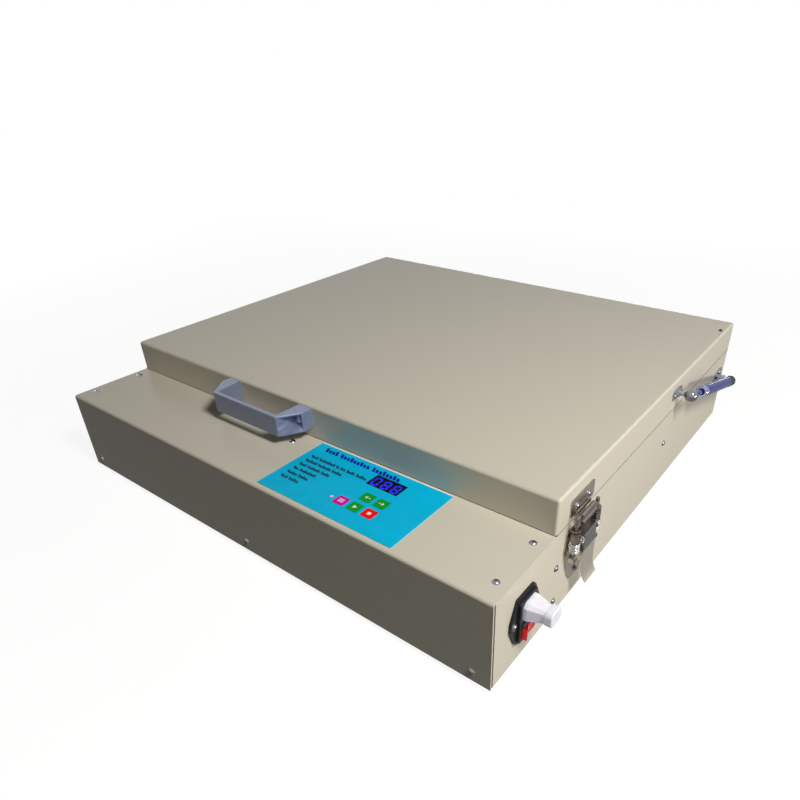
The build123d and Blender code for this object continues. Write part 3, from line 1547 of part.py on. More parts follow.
# ------------------------------------------------------------------ power connector
with BuildPart() as power_connector:
    nose_length = socket_length - 2 * plug_clearance
    nose_height = socket_height - 2 * plug_clearance
    nose_back_x = socket_floor_x + plug_clearance
    with BuildSketch(Plane.YZ.offset(nose_back_x)) as nose:
        with Locations((inlet_y, socket_z)):
            Rectangle(nose_length, nose_height)
        chamfer(nose.vertices().group_by(Axis.Y)[-1], plug_chamfer)
    extrude(amount=inlet_face_x - nose_back_x + plug_clearance)
    # Grip that tapers to the neck, and a collar on its end
    grip_x = inlet_face_x + plug_clearance
    taper_x = grip_x + plug_grip_depth
    collar_x = grip_x + plug_neck_at
    for x, length, height, cut in (
        (grip_x, plug_grip_length, plug_grip_height, plug_chamfer),
        (taper_x, plug_grip_length, plug_grip_height, plug_chamfer),
        (collar_x, plug_neck_length, plug_neck_height, plug_neck_chamfer),
    ):
        with BuildSketch(Plane.YZ.offset(x)) as section:
            with Locations((inlet_y, socket_z)):
                Rectangle(length, height)
            chamfer(section.vertices().group_by(Axis.Y)[-1], cut)
            fillet(section.vertices(), plug_edge_radius)
    loft(ruled=True)
    with BuildSketch(Plane.YZ.offset(collar_x)):
        with Locations((inlet_y, socket_z)):
            RectangleRounded(plug_collar_length, plug_collar_height, plug_collar_radius)
    extrude(amount=plug_collar_thickness)
    collar_faces = power_connector.faces().filter_by(Axis.X).sort_by(Axis.X)
    fillet(collar_faces[-1].edges(), plug_collar_edge)
    # Slots for the inlet's blades
    for dy, dz in blade_places:
        slot_depth = blade_length - plug_clearance + 1.0
        with Locations((nose_back_x + slot_depth / 2, inlet_y + dy, socket_z + dz)):
            Box(
                slot_depth,
                blade_thickness + 2 * blade_clearance,
                blade_width + 2 * blade_clearance,
                mode=Mode.SUBTRACT,
            )
finish(power_connector, "power_connector")

# ------------------------------------------------------------------ motion of the struts
# Where the lid's ball stands with the lid open, and what that asks of the strut
opening = radians(hinge_open_degrees)
arm_y = upper_y - hinge_y
arm_z = upper_z - hinge_z
open_y = hinge_y + arm_y * cos(opening) + arm_z * sin(opening)
open_z = hinge_z - arm_y * sin(opening) + arm_z * cos(opening)
strut_open = hypot(open_y - lower_y, open_z - lower_z)
open_angle = atan2(open_z - lower_z, lower_y - open_y)
print("hinge axis m", 0, round(hinge_y / 1000, 5), round(hinge_z / 1000, 5))
print("strut base m", round(strut_x / 1000, 5), round(lower_y / 1000, 5), round(lower_z / 1000, 5))
print("strut direction", [round(v, 6) for v in strut_dir])
print("strut swing ratio", round((open_angle - strut_angle) / opening, 5))
print("strut stroke m", round((strut_open - strut_closed) / 1000, 6))
print("strut stroke ratio m/rad", round((strut_open - strut_closed) / 1000 / opening, 6))
print("strut angles", round(degrees(strut_angle), 3), round(degrees(open_angle), 3))
print("latch pivot m", round(pivot_x / 1000, 5), round(latch_y / 1000, 5), round(pivot_z / 1000, 5))
print("bail pivot m", round(bail_x / 1000, 5), round(latch_y / 1000, 5), round(bail_z / 1000, 5))
print("rocker m", round(rocker_x / 1000, 5), round(inlet_y / 1000, 5), round(rocker_z / 1000, 5))
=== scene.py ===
import json
from math import cos, radians, sin, tau

import bmesh
import bpy
from mathutils import Euler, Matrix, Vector

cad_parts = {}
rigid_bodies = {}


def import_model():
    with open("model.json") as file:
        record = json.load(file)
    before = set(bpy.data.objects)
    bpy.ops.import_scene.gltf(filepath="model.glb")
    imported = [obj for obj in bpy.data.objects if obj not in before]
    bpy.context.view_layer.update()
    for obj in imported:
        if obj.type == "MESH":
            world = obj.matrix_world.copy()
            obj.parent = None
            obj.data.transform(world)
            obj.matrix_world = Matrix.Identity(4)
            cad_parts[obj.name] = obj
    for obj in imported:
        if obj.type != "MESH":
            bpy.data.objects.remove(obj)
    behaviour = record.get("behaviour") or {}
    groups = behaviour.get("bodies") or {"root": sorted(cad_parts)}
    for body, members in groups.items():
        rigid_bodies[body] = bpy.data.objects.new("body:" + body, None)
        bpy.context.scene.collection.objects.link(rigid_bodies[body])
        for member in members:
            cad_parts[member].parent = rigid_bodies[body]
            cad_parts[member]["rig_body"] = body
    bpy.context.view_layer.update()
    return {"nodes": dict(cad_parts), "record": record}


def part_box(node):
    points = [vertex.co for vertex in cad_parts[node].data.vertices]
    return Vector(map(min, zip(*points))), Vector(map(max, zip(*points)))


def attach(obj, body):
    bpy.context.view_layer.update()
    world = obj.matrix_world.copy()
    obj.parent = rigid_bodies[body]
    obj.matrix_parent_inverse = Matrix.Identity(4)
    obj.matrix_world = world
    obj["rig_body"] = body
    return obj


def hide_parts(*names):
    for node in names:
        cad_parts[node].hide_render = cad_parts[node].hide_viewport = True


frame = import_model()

MM = 0.001
SIDES = ("right", "left")
WHITE = (1.0, 1.0, 1.0, 1.0)

# ------------------------------------------------------------------ camera and stage
CAMERA_PLACE = (0.52893, -0.65120, 0.49332)
CAMERA_TURN = (57.614, 1.075, 36.830)  # degrees, XYZ order
CAMERA_LENS = 28.8  # mm
CAMERA_SENSOR = 36.0  # mm
CAMERA_SHIFT = (-0.0449, 0.0753)
CAMERA_RANGE = (0.01, 50.0)

FLOOR_SIZE = 12.0
FLOOR_NEAR = (0.5, 0.90)  # distance from the middle, and the paper's own brightness there
FLOOR_FAR = (2.2, 1.0)
FLOOR_IN_REFLECTIONS = 0.35  # share of that brightness that a reflection shows
FLOOR_PAPER = (0.16, 0.16, 0.155, 1.0)
AMBIENT = 0.02
AMBIENT_TINT = (1.0, 0.98, 0.92, 1.0)

LAMPS = (  # name, place, aim, size, watts, colour
    ("light_key", (1.07, -0.42, 1.24), (0.15, -0.1, 0.1), (0.30, 0.30), 19.5, (1.0, 0.985, 0.96)),
    ("light_side", (1.95, 0.25, 0.14), (0.33, 0.1, 0.06), (1.1, 0.26), 12.3, (1.0, 0.955, 0.91)),
    ("light_back", (-0.60, 1.75, 0.055), (0.0, 0.33, 0.07), (1.6, 0.09), 9.0, (1.0, 0.98, 0.95)),
    ("light_left", (-1.85, -0.15, 0.055), (-0.33, 0.0, 0.07), (1.2, 0.09), 7.0, (1.0, 0.98, 0.95)),
)


def add_camera():
    """The photograph's camera, from a fit to the cabinet's straight edges."""
    data = bpy.data.cameras.new("camera")
    data.sensor_width = CAMERA_SENSOR
    data.lens = CAMERA_LENS
    data.shift_x, data.shift_y = CAMERA_SHIFT
    data.clip_start, data.clip_end = CAMERA_RANGE
    camera = bpy.data.objects.new("camera", data)
    camera.location = CAMERA_PLACE
    camera.rotation_euler = Euler([radians(a) for a in CAMERA_TURN], "XYZ")
    bpy.context.scene.collection.objects.link(camera)
    bpy.context.scene.camera = camera


def area_light(name, place, aim, size, power, colour):
    """A soft rectangular lamp at place that shines towards aim."""
    data = bpy.data.lights.new(name, "AREA")
    data.shape = "RECTANGLE"
    data.size, data.size_y = size
    data.energy = power
    data.color = colour
    lamp = bpy.data.objects.new(name, data)
    lamp.location = place
    direction = Vector(aim) - Vector(place)
    lamp.rotation_mode = "QUATERNION"
    lamp.rotation_quaternion = direction.to_track_quat("-Z", "Y")
    bpy.context.scene.collection.objects.link(lamp)


def light_stage():
    """A small key lamp from above and three low, wide ones round the sides."""
    for lamp in LAMPS:
        area_light(*lamp)


def combine(tree, operation, first, second):
    """A math node over two outputs. Returns its result."""
    node = tree.nodes.new("ShaderNodeMath")
    node.operation = operation
    tree.links.new(first, node.inputs[0])
    tree.links.new(second, node.inputs[1])
    return node.outputs[0]


def mix_shaders(tree, share, first, second):
    """The first shader where share is 0 and the second where it is 1."""
    mix = tree.nodes.new("ShaderNodeMixShader")
    tree.links.new(share, mix.inputs[0])
    tree.links.new(first, mix.inputs[1])
    tree.links.new(second, mix.inputs[2])
    return mix.outputs[0]


def shows_backdrop(tree):
    """1 for rays that see the backdrop: from the camera, in a reflection or through glass."""
    path = tree.nodes.new("ShaderNodeLightPath")
    seen = combine(tree, "MAXIMUM", path.outputs["Is Camera Ray"], path.outputs["Is Glossy Ray"])
    return combine(tree, "MAXIMUM", seen, path.outputs["Is Transmission Ray"])


def background(tree, colour, strength):
    """A plain background of one colour. Returns its output."""
    made = tree.nodes.new("ShaderNodeBackground")
    made.inputs["Color"].default_value = colour
    made.inputs["Strength"].default_value = strength
    return made.outputs[0]


def set_world():
    """A white backdrop that lights the object only a little."""
    world = bpy.data.worlds.new("studio")
    bpy.context.scene.world = world
    world.use_nodes = True
    tree = world.node_tree
    tree.nodes.clear()
    out = tree.nodes.new("ShaderNodeOutputWorld")
    ambient = background(tree, AMBIENT_TINT, AMBIENT)
    seen = background(tree, WHITE, 1.0)
    tree.links.new(mix_shaders(tree, shows_backdrop(tree), ambient, seen), out.inputs["Surface"])


def floor_level(tree):
    """The paper's own brightness: it rises with distance and is dimmed in reflections."""
    where = tree.nodes.new("ShaderNodeTexCoord")
    away = tree.nodes.new("ShaderNodeVectorMath")
    away.operation = "LENGTH"
    tree.links.new(where.outputs["Object"], away.inputs[0])
    fade = tree.nodes.new("ShaderNodeMapRange")
    fade.inputs["From Min"].default_value, fade.inputs["To Min"].default_value = FLOOR_NEAR
    fade.inputs["From Max"].default_value, fade.inputs["To Max"].default_value = FLOOR_FAR
    tree.links.new(away.outputs["Value"], fade.inputs["Value"])
    path = tree.nodes.new("ShaderNodeLightPath")
    share = tree.nodes.new("ShaderNodeMapRange")
    share.inputs["To Min"].default_value = FLOOR_IN_REFLECTIONS
    share.inputs["To Max"].default_value = 1.0
    tree.links.new(path.outputs["Is Camera Ray"], share.inputs["Value"])
    return combine(tree, "MULTIPLY", fade.outputs["Result"], share.outputs["Result"])


def floor_paint():
    """Paper that takes shadows and fades into the white backdrop."""
    paint = bpy.data.materials.new("floor_paper")
    paint.use_nodes = True
    tree = paint.node_tree
    tree.nodes.clear()
    out = tree.nodes.new("ShaderNodeOutputMaterial")
    paper = tree.nodes.new("ShaderNodeBsdfDiffuse")
    paper.inputs["Color"].default_value = FLOOR_PAPER
    glow = tree.nodes.new("ShaderNodeEmission")
    glow.inputs["Color"].default_value = WHITE
    tree.links.new(floor_level(tree), glow.inputs["Strength"])
    dark = tree.nodes.new("ShaderNodeEmission")
    dark.inputs["Strength"].default_value = 0.0
    total = tree.nodes.new("ShaderNodeAddShader")
    lift = mix_shaders(tree, shows_backdrop(tree), dark.outputs[0], glow.outputs[0])
    tree.links.new(paper.outputs[0], total.inputs[0])
    tree.links.new(lift, total.inputs[1])
    tree.links.new(total.outputs[0], out.inputs["Surface"])
    return paint


def add_floor():
    mesh = bpy.data.meshes.new("floor")
    half = FLOOR_SIZE / 2
    corners = [(-half, -half, 0), (half, -half, 0), (half, half, 0), (-half, half, 0)]
    mesh.from_pydata(corners, [], [(0, 1, 2, 3)])
    floor = bpy.data.objects.new("floor", mesh)
    bpy.context.scene.collection.objects.link(floor)
    mesh.materials.append(floor_paint())


# ------------------------------------------------------------------ shader helpers
EVEN = (1.0, 1.0, 1.0)  # no stretch


def principled(name, colour, roughness, metallic=0.0, **sockets):
    """A material with one Principled shader. Extra sockets are named with _ for spaces."""
    made = bpy.data.materials.new(name)
    made.use_nodes = True
    shader = shader_of(made)
    shader.inputs["Base Color"].default_value = (*colour, 1.0)
    shader.inputs["Roughness"].default_value = roughness
    shader.inputs["Metallic"].default_value = metallic
    for key, value in sockets.items():
        shader.inputs[key.replace("_", " ")].default_value = value
    return made


def shader_of(made):
    return made.node_tree.nodes["Principled BSDF"]


def object_place(made):
    """The place of a shaded point in the piece's own space."""
    return made.node_tree.nodes.new("ShaderNodeTexCoord").outputs["Object"]


def place_noise(made, scale, detail=2.0, stretch=EVEN):
    """Noise in the piece's own space, stretched along its axes. Returns its factor."""
    nodes, links = made.node_tree.nodes, made.node_tree.links
    sized = nodes.new("ShaderNodeMapping")
    sized.inputs["Scale"].default_value = stretch
    noise = nodes.new("ShaderNodeTexNoise")
    noise.inputs["Scale"].default_value = scale
    noise.inputs["Detail"].default_value = detail
    links.new(object_place(made), sized.inputs["Vector"])
    links.new(sized.outputs["Vector"], noise.inputs["Vector"])
    return noise.outputs["Fac"]


def ramp(made, factor, low, high, start=0.3, end=0.7):
    """A colour ramp between two colours, driven by factor."""
    blend = made.node_tree.nodes.new("ShaderNodeValToRGB")
    first, last = blend.color_ramp.elements
    first.position = start
    first.color = (*low, 1.0)
    last.position = end
    last.color = (*high, 1.0)
    made.node_tree.links.new(factor, blend.inputs["Fac"])
    return blend.outputs["Color"]


def vary_colour(made, scale, low, high, detail=2.0, stretch=EVEN):
    """Lets the colour wander between two colours."""
    colour = ramp(made, place_noise(made, scale, detail, stretch), low, high)
    made.node_tree.links.new(colour, shader_of(made).inputs["Base Color"])


def vary_roughness(made, scale, low, high, detail=2.0, stretch=EVEN):
    """Lets the roughness wander between two values."""
    nodes, links = made.node_tree.nodes, made.node_tree.links
    span = nodes.new("ShaderNodeMapRange")
    span.inputs["To Min"].default_value = low
    span.inputs["To Max"].default_value = high
    links.new(place_noise(made, scale, detail, stretch), span.inputs["Value"])
    links.new(span.outputs["Result"], shader_of(made).inputs["Roughness"])


def bump(made, factor, strength, distance):
    """Roughens the surface by factor, with distance as the full height."""
    nodes, links = made.node_tree.nodes, made.node_tree.links
    step = nodes.new("ShaderNodeBump")
    step.inputs["Strength"].default_value = strength
    step.inputs["Distance"].default_value = distance
    links.new(factor, step.inputs["Height"])
    links.new(step.outputs["Normal"], shader_of(made).inputs["Normal"])


def two_tone(made, axis, start, width, first, second):
    """One colour up to start along an axis of the object and another past start + width."""
    nodes, links = made.node_tree.nodes, made.node_tree.links
    parts = nodes.new("ShaderNodeSeparateXYZ")
    links.new(object_place(made), parts.inputs[0])
    edge = nodes.new("ShaderNodeMapRange")
    edge.inputs["From Min"].default_value = start
    edge.inputs["From Max"].default_value = start + width
    links.new(parts.outputs[axis], edge.inputs["Value"])
    tone = ramp(made, edge.outputs["Result"], first, second, 0.0, 1.0)
    links.new(tone, shader_of(made).inputs["Base Color"])


# ------------------------------------------------------------------ materials
CHROME = (0.25, 0.255, 0.28)
# painted reflection: the strut tube's blue, and the dark of the ball socket at its end
TUBE_BLUE_REFLECTION = (0.016, 0.036, 0.28)
ROD_BLUE = (0.02, 0.03, 0.38)
SOCKET_DARK_REFLECTION = (0.05, 0.05, 0.055)
HOOK_STEEL = (0.29, 0.255, 0.225)
# painted dark reflection: the colour of the lever's folded box and the share of its height where
# that darker paint starts
LEVER_PLATE = (0.62, 0.565, 0.485)
LEVER_BOX_DARK_REFLECTION = (0.19, 0.18, 0.17)
LEVER_REFLECTION_START = 0.66  # share of the lever's height where its folded box starts
SOCKET_REACH = 1.15  # length of the tube's dark end along Y, in diameters of its ball
LATCH_GRAIN = (1.0, 0.6, 0.08)  # stretch of the grain, which runs along Z
GRAIN_SCALE = 900.0
GRAIN_DETAIL = 3.0
ROCKER_LAMP_HEIGHT = 0.55  # share of the rocker's height
ROCKER_LAMP_REACH = 5.5 * MM


def powder_coat():
    """Cream semi-gloss powder coat with a faint orange peel."""
    made = principled("powder_coat", (0.65, 0.61, 0.50), 0.30, Specular_IOR_Level=0.14)
    vary_colour(made, scale=6.0, low=(0.645, 0.606, 0.496), high=(0.655, 0.614, 0.504))
    vary_roughness(made, scale=9.0, low=0.28, high=0.31)
    bump(made, place_noise(made, scale=420.0), strength=0.05, distance=0.4 * MM)
    return made


def metal_grain(made, roughness, stretch):
    """A brushed or rolled grain that runs along the axis with the small stretch."""
    low, high = 0.75 * roughness, 1.3 * roughness
    vary_roughness(made, GRAIN_SCALE, low, high, GRAIN_DETAIL, stretch)
    grain = place_noise(made, GRAIN_SCALE, GRAIN_DETAIL, stretch)
    bump(made, grain, strength=0.25, distance=0.04 * MM)


def brushed(name, colour, roughness, stretch):
    """Brushed or rolled metal whose tone changes along its grain."""
    made = principled(name, colour, roughness, metallic=1.0)
    dark = tuple(0.82 * c for c in colour)
    vary_colour(made, GRAIN_SCALE / 3, dark, colour, GRAIN_DETAIL, stretch)
    metal_grain(made, roughness, stretch)
    return made


def chrome(name, colour, roughness=0.07):
    """Bright plating with faint handling marks."""
    made = principled(name, colour, roughness, metallic=1.0)
    vary_roughness(made, scale=120.0, low=0.6 * roughness, high=2.2 * roughness, detail=4.0)
    bump(made, place_noise(made, scale=260.0), strength=0.03, distance=0.1 * MM)
    return made


def moulded(name, colour, roughness, texture=0.12, grain=1500.0, **sockets):
    """Moulded plastic or rubber with a fine skin texture."""
    made = principled(name, colour, roughness, **sockets)
    dark = tuple(0.93 * c for c in colour)
    light = tuple(min(1.0, 1.08 * c + 0.002) for c in colour)
    vary_colour(made, 90.0, dark, light)
    vary_roughness(made, 200.0, 0.85 * roughness, min(1.0, 1.15 * roughness))
    bump(made, place_noise(made, grain), texture, distance=0.06 * MM)
    return made


def cast_handle():
    """Silver-blue hammer paint on a die casting."""
    made = principled("handle_metal", (0.24, 0.275, 0.41), 0.32, metallic=0.25)
    vary_colour(made, 260.0, (0.225, 0.258, 0.385), (0.262, 0.298, 0.440), detail=3.0)
    vary_roughness(made, scale=160.0, low=0.28, high=0.40)
    bump(made, place_noise(made, scale=900.0, detail=3.0), strength=0.10, distance=0.08 * MM)
    return made


def float_glass():
    made = principled("glass", (0.86, 0.93, 0.91), 0.02, IOR=1.5, Transmission_Weight=1.0)
    vary_roughness(made, scale=30.0, low=0.01, high=0.05)
    return made


def circuit_board():
    """Solder mask with the shadow of its copper tracks."""
    made = principled("circuit_board", (0.02, 0.16, 0.07), 0.38)
    links = made.node_tree.links
    tracks = made.node_tree.nodes.new("ShaderNodeTexBrick")
    tracks.inputs["Scale"].default_value = 160.0
    tracks.inputs["Color1"].default_value = (0.02, 0.15, 0.06, 1.0)
    tracks.inputs["Color2"].default_value = (0.03, 0.20, 0.09, 1.0)
    tracks.inputs["Mortar"].default_value = (0.05, 0.30, 0.14, 1.0)
    tracks.inputs["Mortar Size"].default_value = 0.06
    links.new(object_place(made), tracks.inputs["Vector"])
    links.new(tracks.outputs["Color"], shader_of(made).inputs["Base Color"])
    bump(made, tracks.outputs["Fac"], strength=0.3, distance=0.05 * MM)
    return made


def plywood():
    """Plain plywood whose grain runs along X."""
    made = principled("board_wood", (0.50, 0.36, 0.21), 0.6)
    vary_colour(made, 18.0, (0.42, 0.29, 0.16), (0.62, 0.46, 0.28), 6.0, (0.4, 5.0, 5.0))
    fibres = place_noise(made, scale=60.0, detail=5.0, stretch=(0.4, 6.0, 6.0))
    bump(made, fibres, strength=0.2, distance=0.3 * MM)
    return made


def foam():
    """Closed-cell foam: matt, with a fine cell structure."""
    made = principled("foam", (0.030, 0.031, 0.034), 0.92, Sheen_Weight=0.25)
    vary_colour(made, 14.0, (0.024, 0.025, 0.028), (0.040, 0.041, 0.044), detail=4.0)
    cells = made.node_tree.nodes.new("ShaderNodeTexVoronoi")
    cells.inputs["Scale"].default_value = 900.0
    made.node_tree.links.new(object_place(made), cells.inputs["Vector"])
    bump(made, cells.outputs["Distance"], strength=0.5, distance=0.3 * MM)
    return made


def glowing(name, colour, strength, base=(0.02, 0.02, 0.02)):
    """A lit indicator: a glossy lens with a slightly uneven glow."""
    made = principled(name, base, 0.25)
    shader_of(made).inputs["Emission Strength"].default_value = strength
    dim = tuple(0.8 * c for c in colour)
    glow = ramp(made, place_noise(made, scale=300.0), dim, colour)
    made.node_tree.links.new(glow, shader_of(made).inputs["Emission Color"])
    return made


def membrane(name, colour, roughness=0.36):
    """Printed polyester film with a fine matt texture."""
    made = principled(name, colour, roughness, Specular_IOR_Level=0.08)
    low = tuple(0.95 * c for c in colour)
    high = tuple(min(1.0, 1.05 * c) for c in colour)
    vary_colour(made, 60.0, low, high, detail=3.0)
    vary_roughness(made, 90.0, 0.9 * roughness, 1.15 * roughness)
    bump(made, place_noise(made, scale=1600.0), strength=0.10, distance=0.05 * MM)
    return made


def lit_rocker():
    """Translucent red rocker with the warm spot of its neon lamp behind the upper half."""
    made = moulded("rocker_red", (0.78, 0.010, 0.014), 0.16, 0.03)
    nodes, links = made.node_tree.nodes, made.node_tree.links
    low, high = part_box("rocker_switch")
    lamp_z = low.z + ROCKER_LAMP_HEIGHT * (high.z - low.z)
    gap = nodes.new("ShaderNodeVectorMath")
    gap.operation = "DISTANCE"
    gap.inputs[1].default_value = (high.x, (low.y + high.y) / 2, lamp_z)
    links.new(object_place(made), gap.inputs[0])
    reach = nodes.new("ShaderNodeMapRange")
    reach.inputs["From Max"].default_value = ROCKER_LAMP_REACH
    links.new(gap.outputs["Value"], reach.inputs["Value"])
    glow = nodes.new("ShaderNodeValToRGB")
    glow.color_ramp.interpolation = "EASE"
    glow.color_ramp.elements[0].color = (1.0, 0.22, 0.04, 1.0)
    glow.color_ramp.elements[1].color = (0.10, 0.0, 0.001, 1.0)
    links.new(reach.outputs["Result"], glow.inputs["Fac"])
    links.new(glow.outputs["Color"], shader_of(made).inputs["Emission Color"])
    shader_of(made).inputs["Emission Strength"].default_value = 1.5
    return made


def white_moulding_painted_glow():
    """Milky white plastic: light that enters it softens its own shading, and a faint lavender
    painted glow lightens its shaded faces.
    """
    # painted light: the emission is a glow that brightens the shaded faces of a part that is no
    # lamp
    glow = (0.78, 0.74, 1.0, 1.0)
    return moulded("white_plastic", (0.72, 0.72, 0.76), 0.32, 0.06, Subsurface_Weight=0.4,
                   Subsurface_Scale=0.004, Emission_Color=glow, Emission_Strength=0.15)


def strut_tube_painted_reflection():
    """Painted reflection on the gas strut: the tube's blue stands for the blue that its plating
    reflects, and the ball socket at its end is painted dark for its dark reflection.
    """
    made = principled("strut_tube_painted_reflection", TUBE_BLUE_REFLECTION, 0.28, 0.30, Specular_IOR_Level=0.2)
    vary_roughness(made, scale=120.0, low=0.16, high=0.28)
    bump(made, place_noise(made, scale=300.0), strength=0.03, distance=0.1 * MM)
    low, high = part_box("strut_cylinder_right")
    start = high.y - SOCKET_REACH * (high.x - low.x)
    # painted dark reflection on the ball socket at the tube's end
    two_tone(made, "Y", start, 1.0 * MM, TUBE_BLUE_REFLECTION, SOCKET_DARK_REFLECTION)
    return made


def strut_rod_finish():
    """Chrome ball socket on a dark blue rod: the blue starts where the rod leaves the socket."""
    made = chrome("strut_rod_finish", CHROME)
    low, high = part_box("strut_rod_right")
    two_tone(made, "Y", low.y + (high.x - low.x), 1.0 * MM, CHROME, ROD_BLUE)
    return made


def lever_steel_dark_reflection():
    """Brushed sheet steel whose folded box at the lever's upper end is painted darker: a painted
    dark reflection.
    """
    made = principled("lever_steel_dark_reflection", LEVER_PLATE, 0.30, metallic=1.0)
    metal_grain(made, 0.30, LATCH_GRAIN)
    low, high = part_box("latch_lever_right")
    start = low.z + LEVER_REFLECTION_START * (high.z - low.z)
    # painted dark reflection on the folded box at the lever's upper end
    two_tone(made, "Z", start, 1.5 * MM, LEVER_PLATE, LEVER_BOX_DARK_REFLECTION)
    return made


def black_moulding():
    return moulded("black_plastic", (0.014, 0.014, 0.018), 0.34, Specular_IOR_Level=0.25)


def dark_window():
    return moulded("window", (0.004, 0.004, 0.010), 0.12, 0.02, Specular_IOR_Level=0.15)


SLOT_MATERIALS = {
    "powder_coat": powder_coat,
    "glass": float_glass,
    "aluminium": lambda: brushed("aluminium", (0.72, 0.73, 0.74), 0.34, (0.05, 1.0, 1.0)),
    "circuit_board": circuit_board,
    "led_lens": lambda: moulded("led_lens", (0.62, 0.58, 0.80), 0.18, 0.03),
    "plated_steel": lambda: brushed("plated_steel", (0.40, 0.41, 0.44), 0.26, (1.0, 0.1, 0.3)),
    "black_plastic": black_moulding,
    "window": dark_window,
    "membrane_blue": lambda: membrane("membrane_blue", (0.001, 0.51, 0.81)),
    "lamp_red": lambda: glowing("lamp_red", (1.0, 0.30, 0.38), 0.9, (0.5, 0.05, 0.08)),
    "black_rubber": lambda: moulded("black_rubber", (0.028, 0.028, 0.030), 0.75, 0.25, 900.0),
    "screw_steel": lambda: chrome("screw_steel", (0.26, 0.26, 0.28), 0.14),
    "black_steel": lambda: brushed("black_steel", (0.055, 0.055, 0.06), 0.35, (1.0, 1.0, 0.4)),
    "stainless": lambda: brushed("stainless", (0.50, 0.45, 0.385), 0.24, LATCH_GRAIN),
    "chrome": lambda: chrome("chrome", CHROME),
    "brass": lambda: brushed("brass", (0.80, 0.60, 0.28), 0.25, (0.1, 1.0, 1.0)),
    "rocker_red": lit_rocker,
    "board_wood": plywood,
    "foam": foam,
    "handle_metal": cast_handle,
    "key_magenta": lambda: membrane("key_magenta", (0.68, 0.002, 0.42)),
    "key_green": lambda: membrane("key_green", (0.0005, 0.34, 0.014)),
    "key_red": lambda: membrane("key_red", (0.98, 0.002, 0.001)),
    "white_plastic": white_moulding_painted_glow,
}
materials = {slot: make() for slot, make in SLOT_MATERIALS.items()}
spring_wire = chrome("spring_wire", (0.72, 0.72, 0.75), 0.14)


def own_finishes():
    """Finishes of the CAD nodes that differ from the plain one of their slot."""
    tube, rod = strut_tube_painted_reflection(), strut_rod_finish()
    hook = brushed("hook_steel", HOOK_STEEL, 0.20, LATCH_GRAIN)
    lever = lever_steel_dark_reflection()
    finishes = {"handle_screws": spring_wire}
    for side in SIDES:
        finishes[f"strut_cylinder_{side}"] = tube
        finishes[f"strut_rod_{side}"] = rod
        finishes[f"latch_bail_{side}"] = hook
        finishes[f"latch_lever_{side}"] = lever
    return finishes


def dress_cad_nodes():
    """Every CAD node takes its own finish, or else the material of its slot."""
    own = own_finishes()
    for row in frame["record"]["subparts"]:
        mesh = frame["nodes"][row["node"]].data
        mesh.materials.clear()
        mesh.materials.append(own.get(row["node"], materials[row["material_slot"]]))


# ------------------------------------------------------------------ mesh helpers
def new_piece(name, mesh, body, slot, made=None):
    """Links a mesh or curve as a piece that rides on a body and takes a slot's finish."""
    piece = bpy.data.objects.new(name, mesh)
    bpy.context.scene.collection.objects.link(piece)
    mesh.materials.clear()
    mesh.materials.append(made or materials[slot])
    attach(piece, body)
    return piece


def mesh_from(name, bm):
    """A named mesh with what bm holds. It frees bm."""
    mesh = bpy.data.meshes.new(name)
    bm.to_mesh(mesh)
    bm.free()
    return mesh


def shade_smooth(mesh, angle=35.0):
    """Smooth shading, with edges sharper than angle degrees kept sharp."""
    for face in mesh.polygons:
        face.use_smooth = True
    mesh.set_sharp_from_angle(angle=radians(angle))


def prism(bm, outline, low, high):
    """Adds a prism over a flat outline of (x, y), between two heights."""
    bottom = [bm.verts.new((x, y, low)) for x, y in outline]
    top = [bm.verts.new((x, y, high)) for x, y in outline]
    count = len(outline)
    bm.faces.new(top)
    bm.faces.new(bottom[::-1])
    for i in range(count):
        j = (i + 1) % count
        bm.faces.new((bottom[i], bottom[j], top[j], top[i]))


def block(bm, x0, y0, x1, y1, low, high):
    """Adds an upright block between two corners and two heights."""
    prism(bm, [(x0, y0), (x1, y0), (x1, y1), (x0, y1)], low, high)


def rounded_bar(x0, y0, x1, y1, radius, steps=4):
    """Outline of an upright rectangle with round corners."""
    points = []
    corners = [(x1 - radius, y1 - radius, 0), (x0 + radius, y1 - radius, 90),
               (x0 + radius, y0 + radius, 180), (x1 - radius, y0 + radius, 270)]
    for cx, cy, start in corners:
        for i in range(steps + 1):
            a = radians(start + 90 * i / steps)
            points.append((cx + radius * cos(a), cy + radius * sin(a)))
    return points


def wire(name, points, radius, body, slot, made=None):
    """A round wire along points, as a curve."""
    data = bpy.data.curves.new(name, "CURVE")
    data.dimensions = "3D"
    data.bevel_depth = radius
    data.bevel_resolution = 3
    data.use_fill_caps = True
    line = data.splines.new("POLY")
    line.points.add(len(points) - 1)
    for spot, place in zip(line.points, points):
        spot.co = (*place, 1.0)
    line.use_smooth = True
    return new_piece(name, data, body, slot, made)


# ------------------------------------------------------------------ control panel artwork
INK = 0.05 * MM  # thickness of the printed ink
BORDER = 1.1 * MM  # width of the film's pale back edge
HEADING_PLACE = (49.7 * MM, -233.6 * MM)
HEADING_WORDS = (4, 9, 8)  # marks in each word
HEADING_MARK = (4.88 * MM, 5.6 * MM, 7.7 * MM)  # pitch, low height, tall height
HEADING_SPACE = 0.7  # between two words, as a share of the pitch
LINE_PLACE = (43.0 * MM, -251.6 * MM)
LINE_PITCH = 9.1 * MM
LINE_MARK = (2.4 * MM, 3.8 * MM, 5.3 * MM)
LINE_SPACE = 0.8
LINE_WORDS = ((4, 10, 2, 3, 5, 6), (7, 8, 6), (4, 8, 5), (3, 10), (6, 6), (4, 6))
MARK_WIDTH = 0.8  # as a share of the pitch
MARK_CORNER = 0.2  # radius of a mark's corners, as a share of the pitch
MARK_CORNER_STEPS = 2
TALL_EVERY = 3  # every third mark of a word, from its first on, is a tall one
TEXT_SLANT = -0.42  # sideways for each unit of height
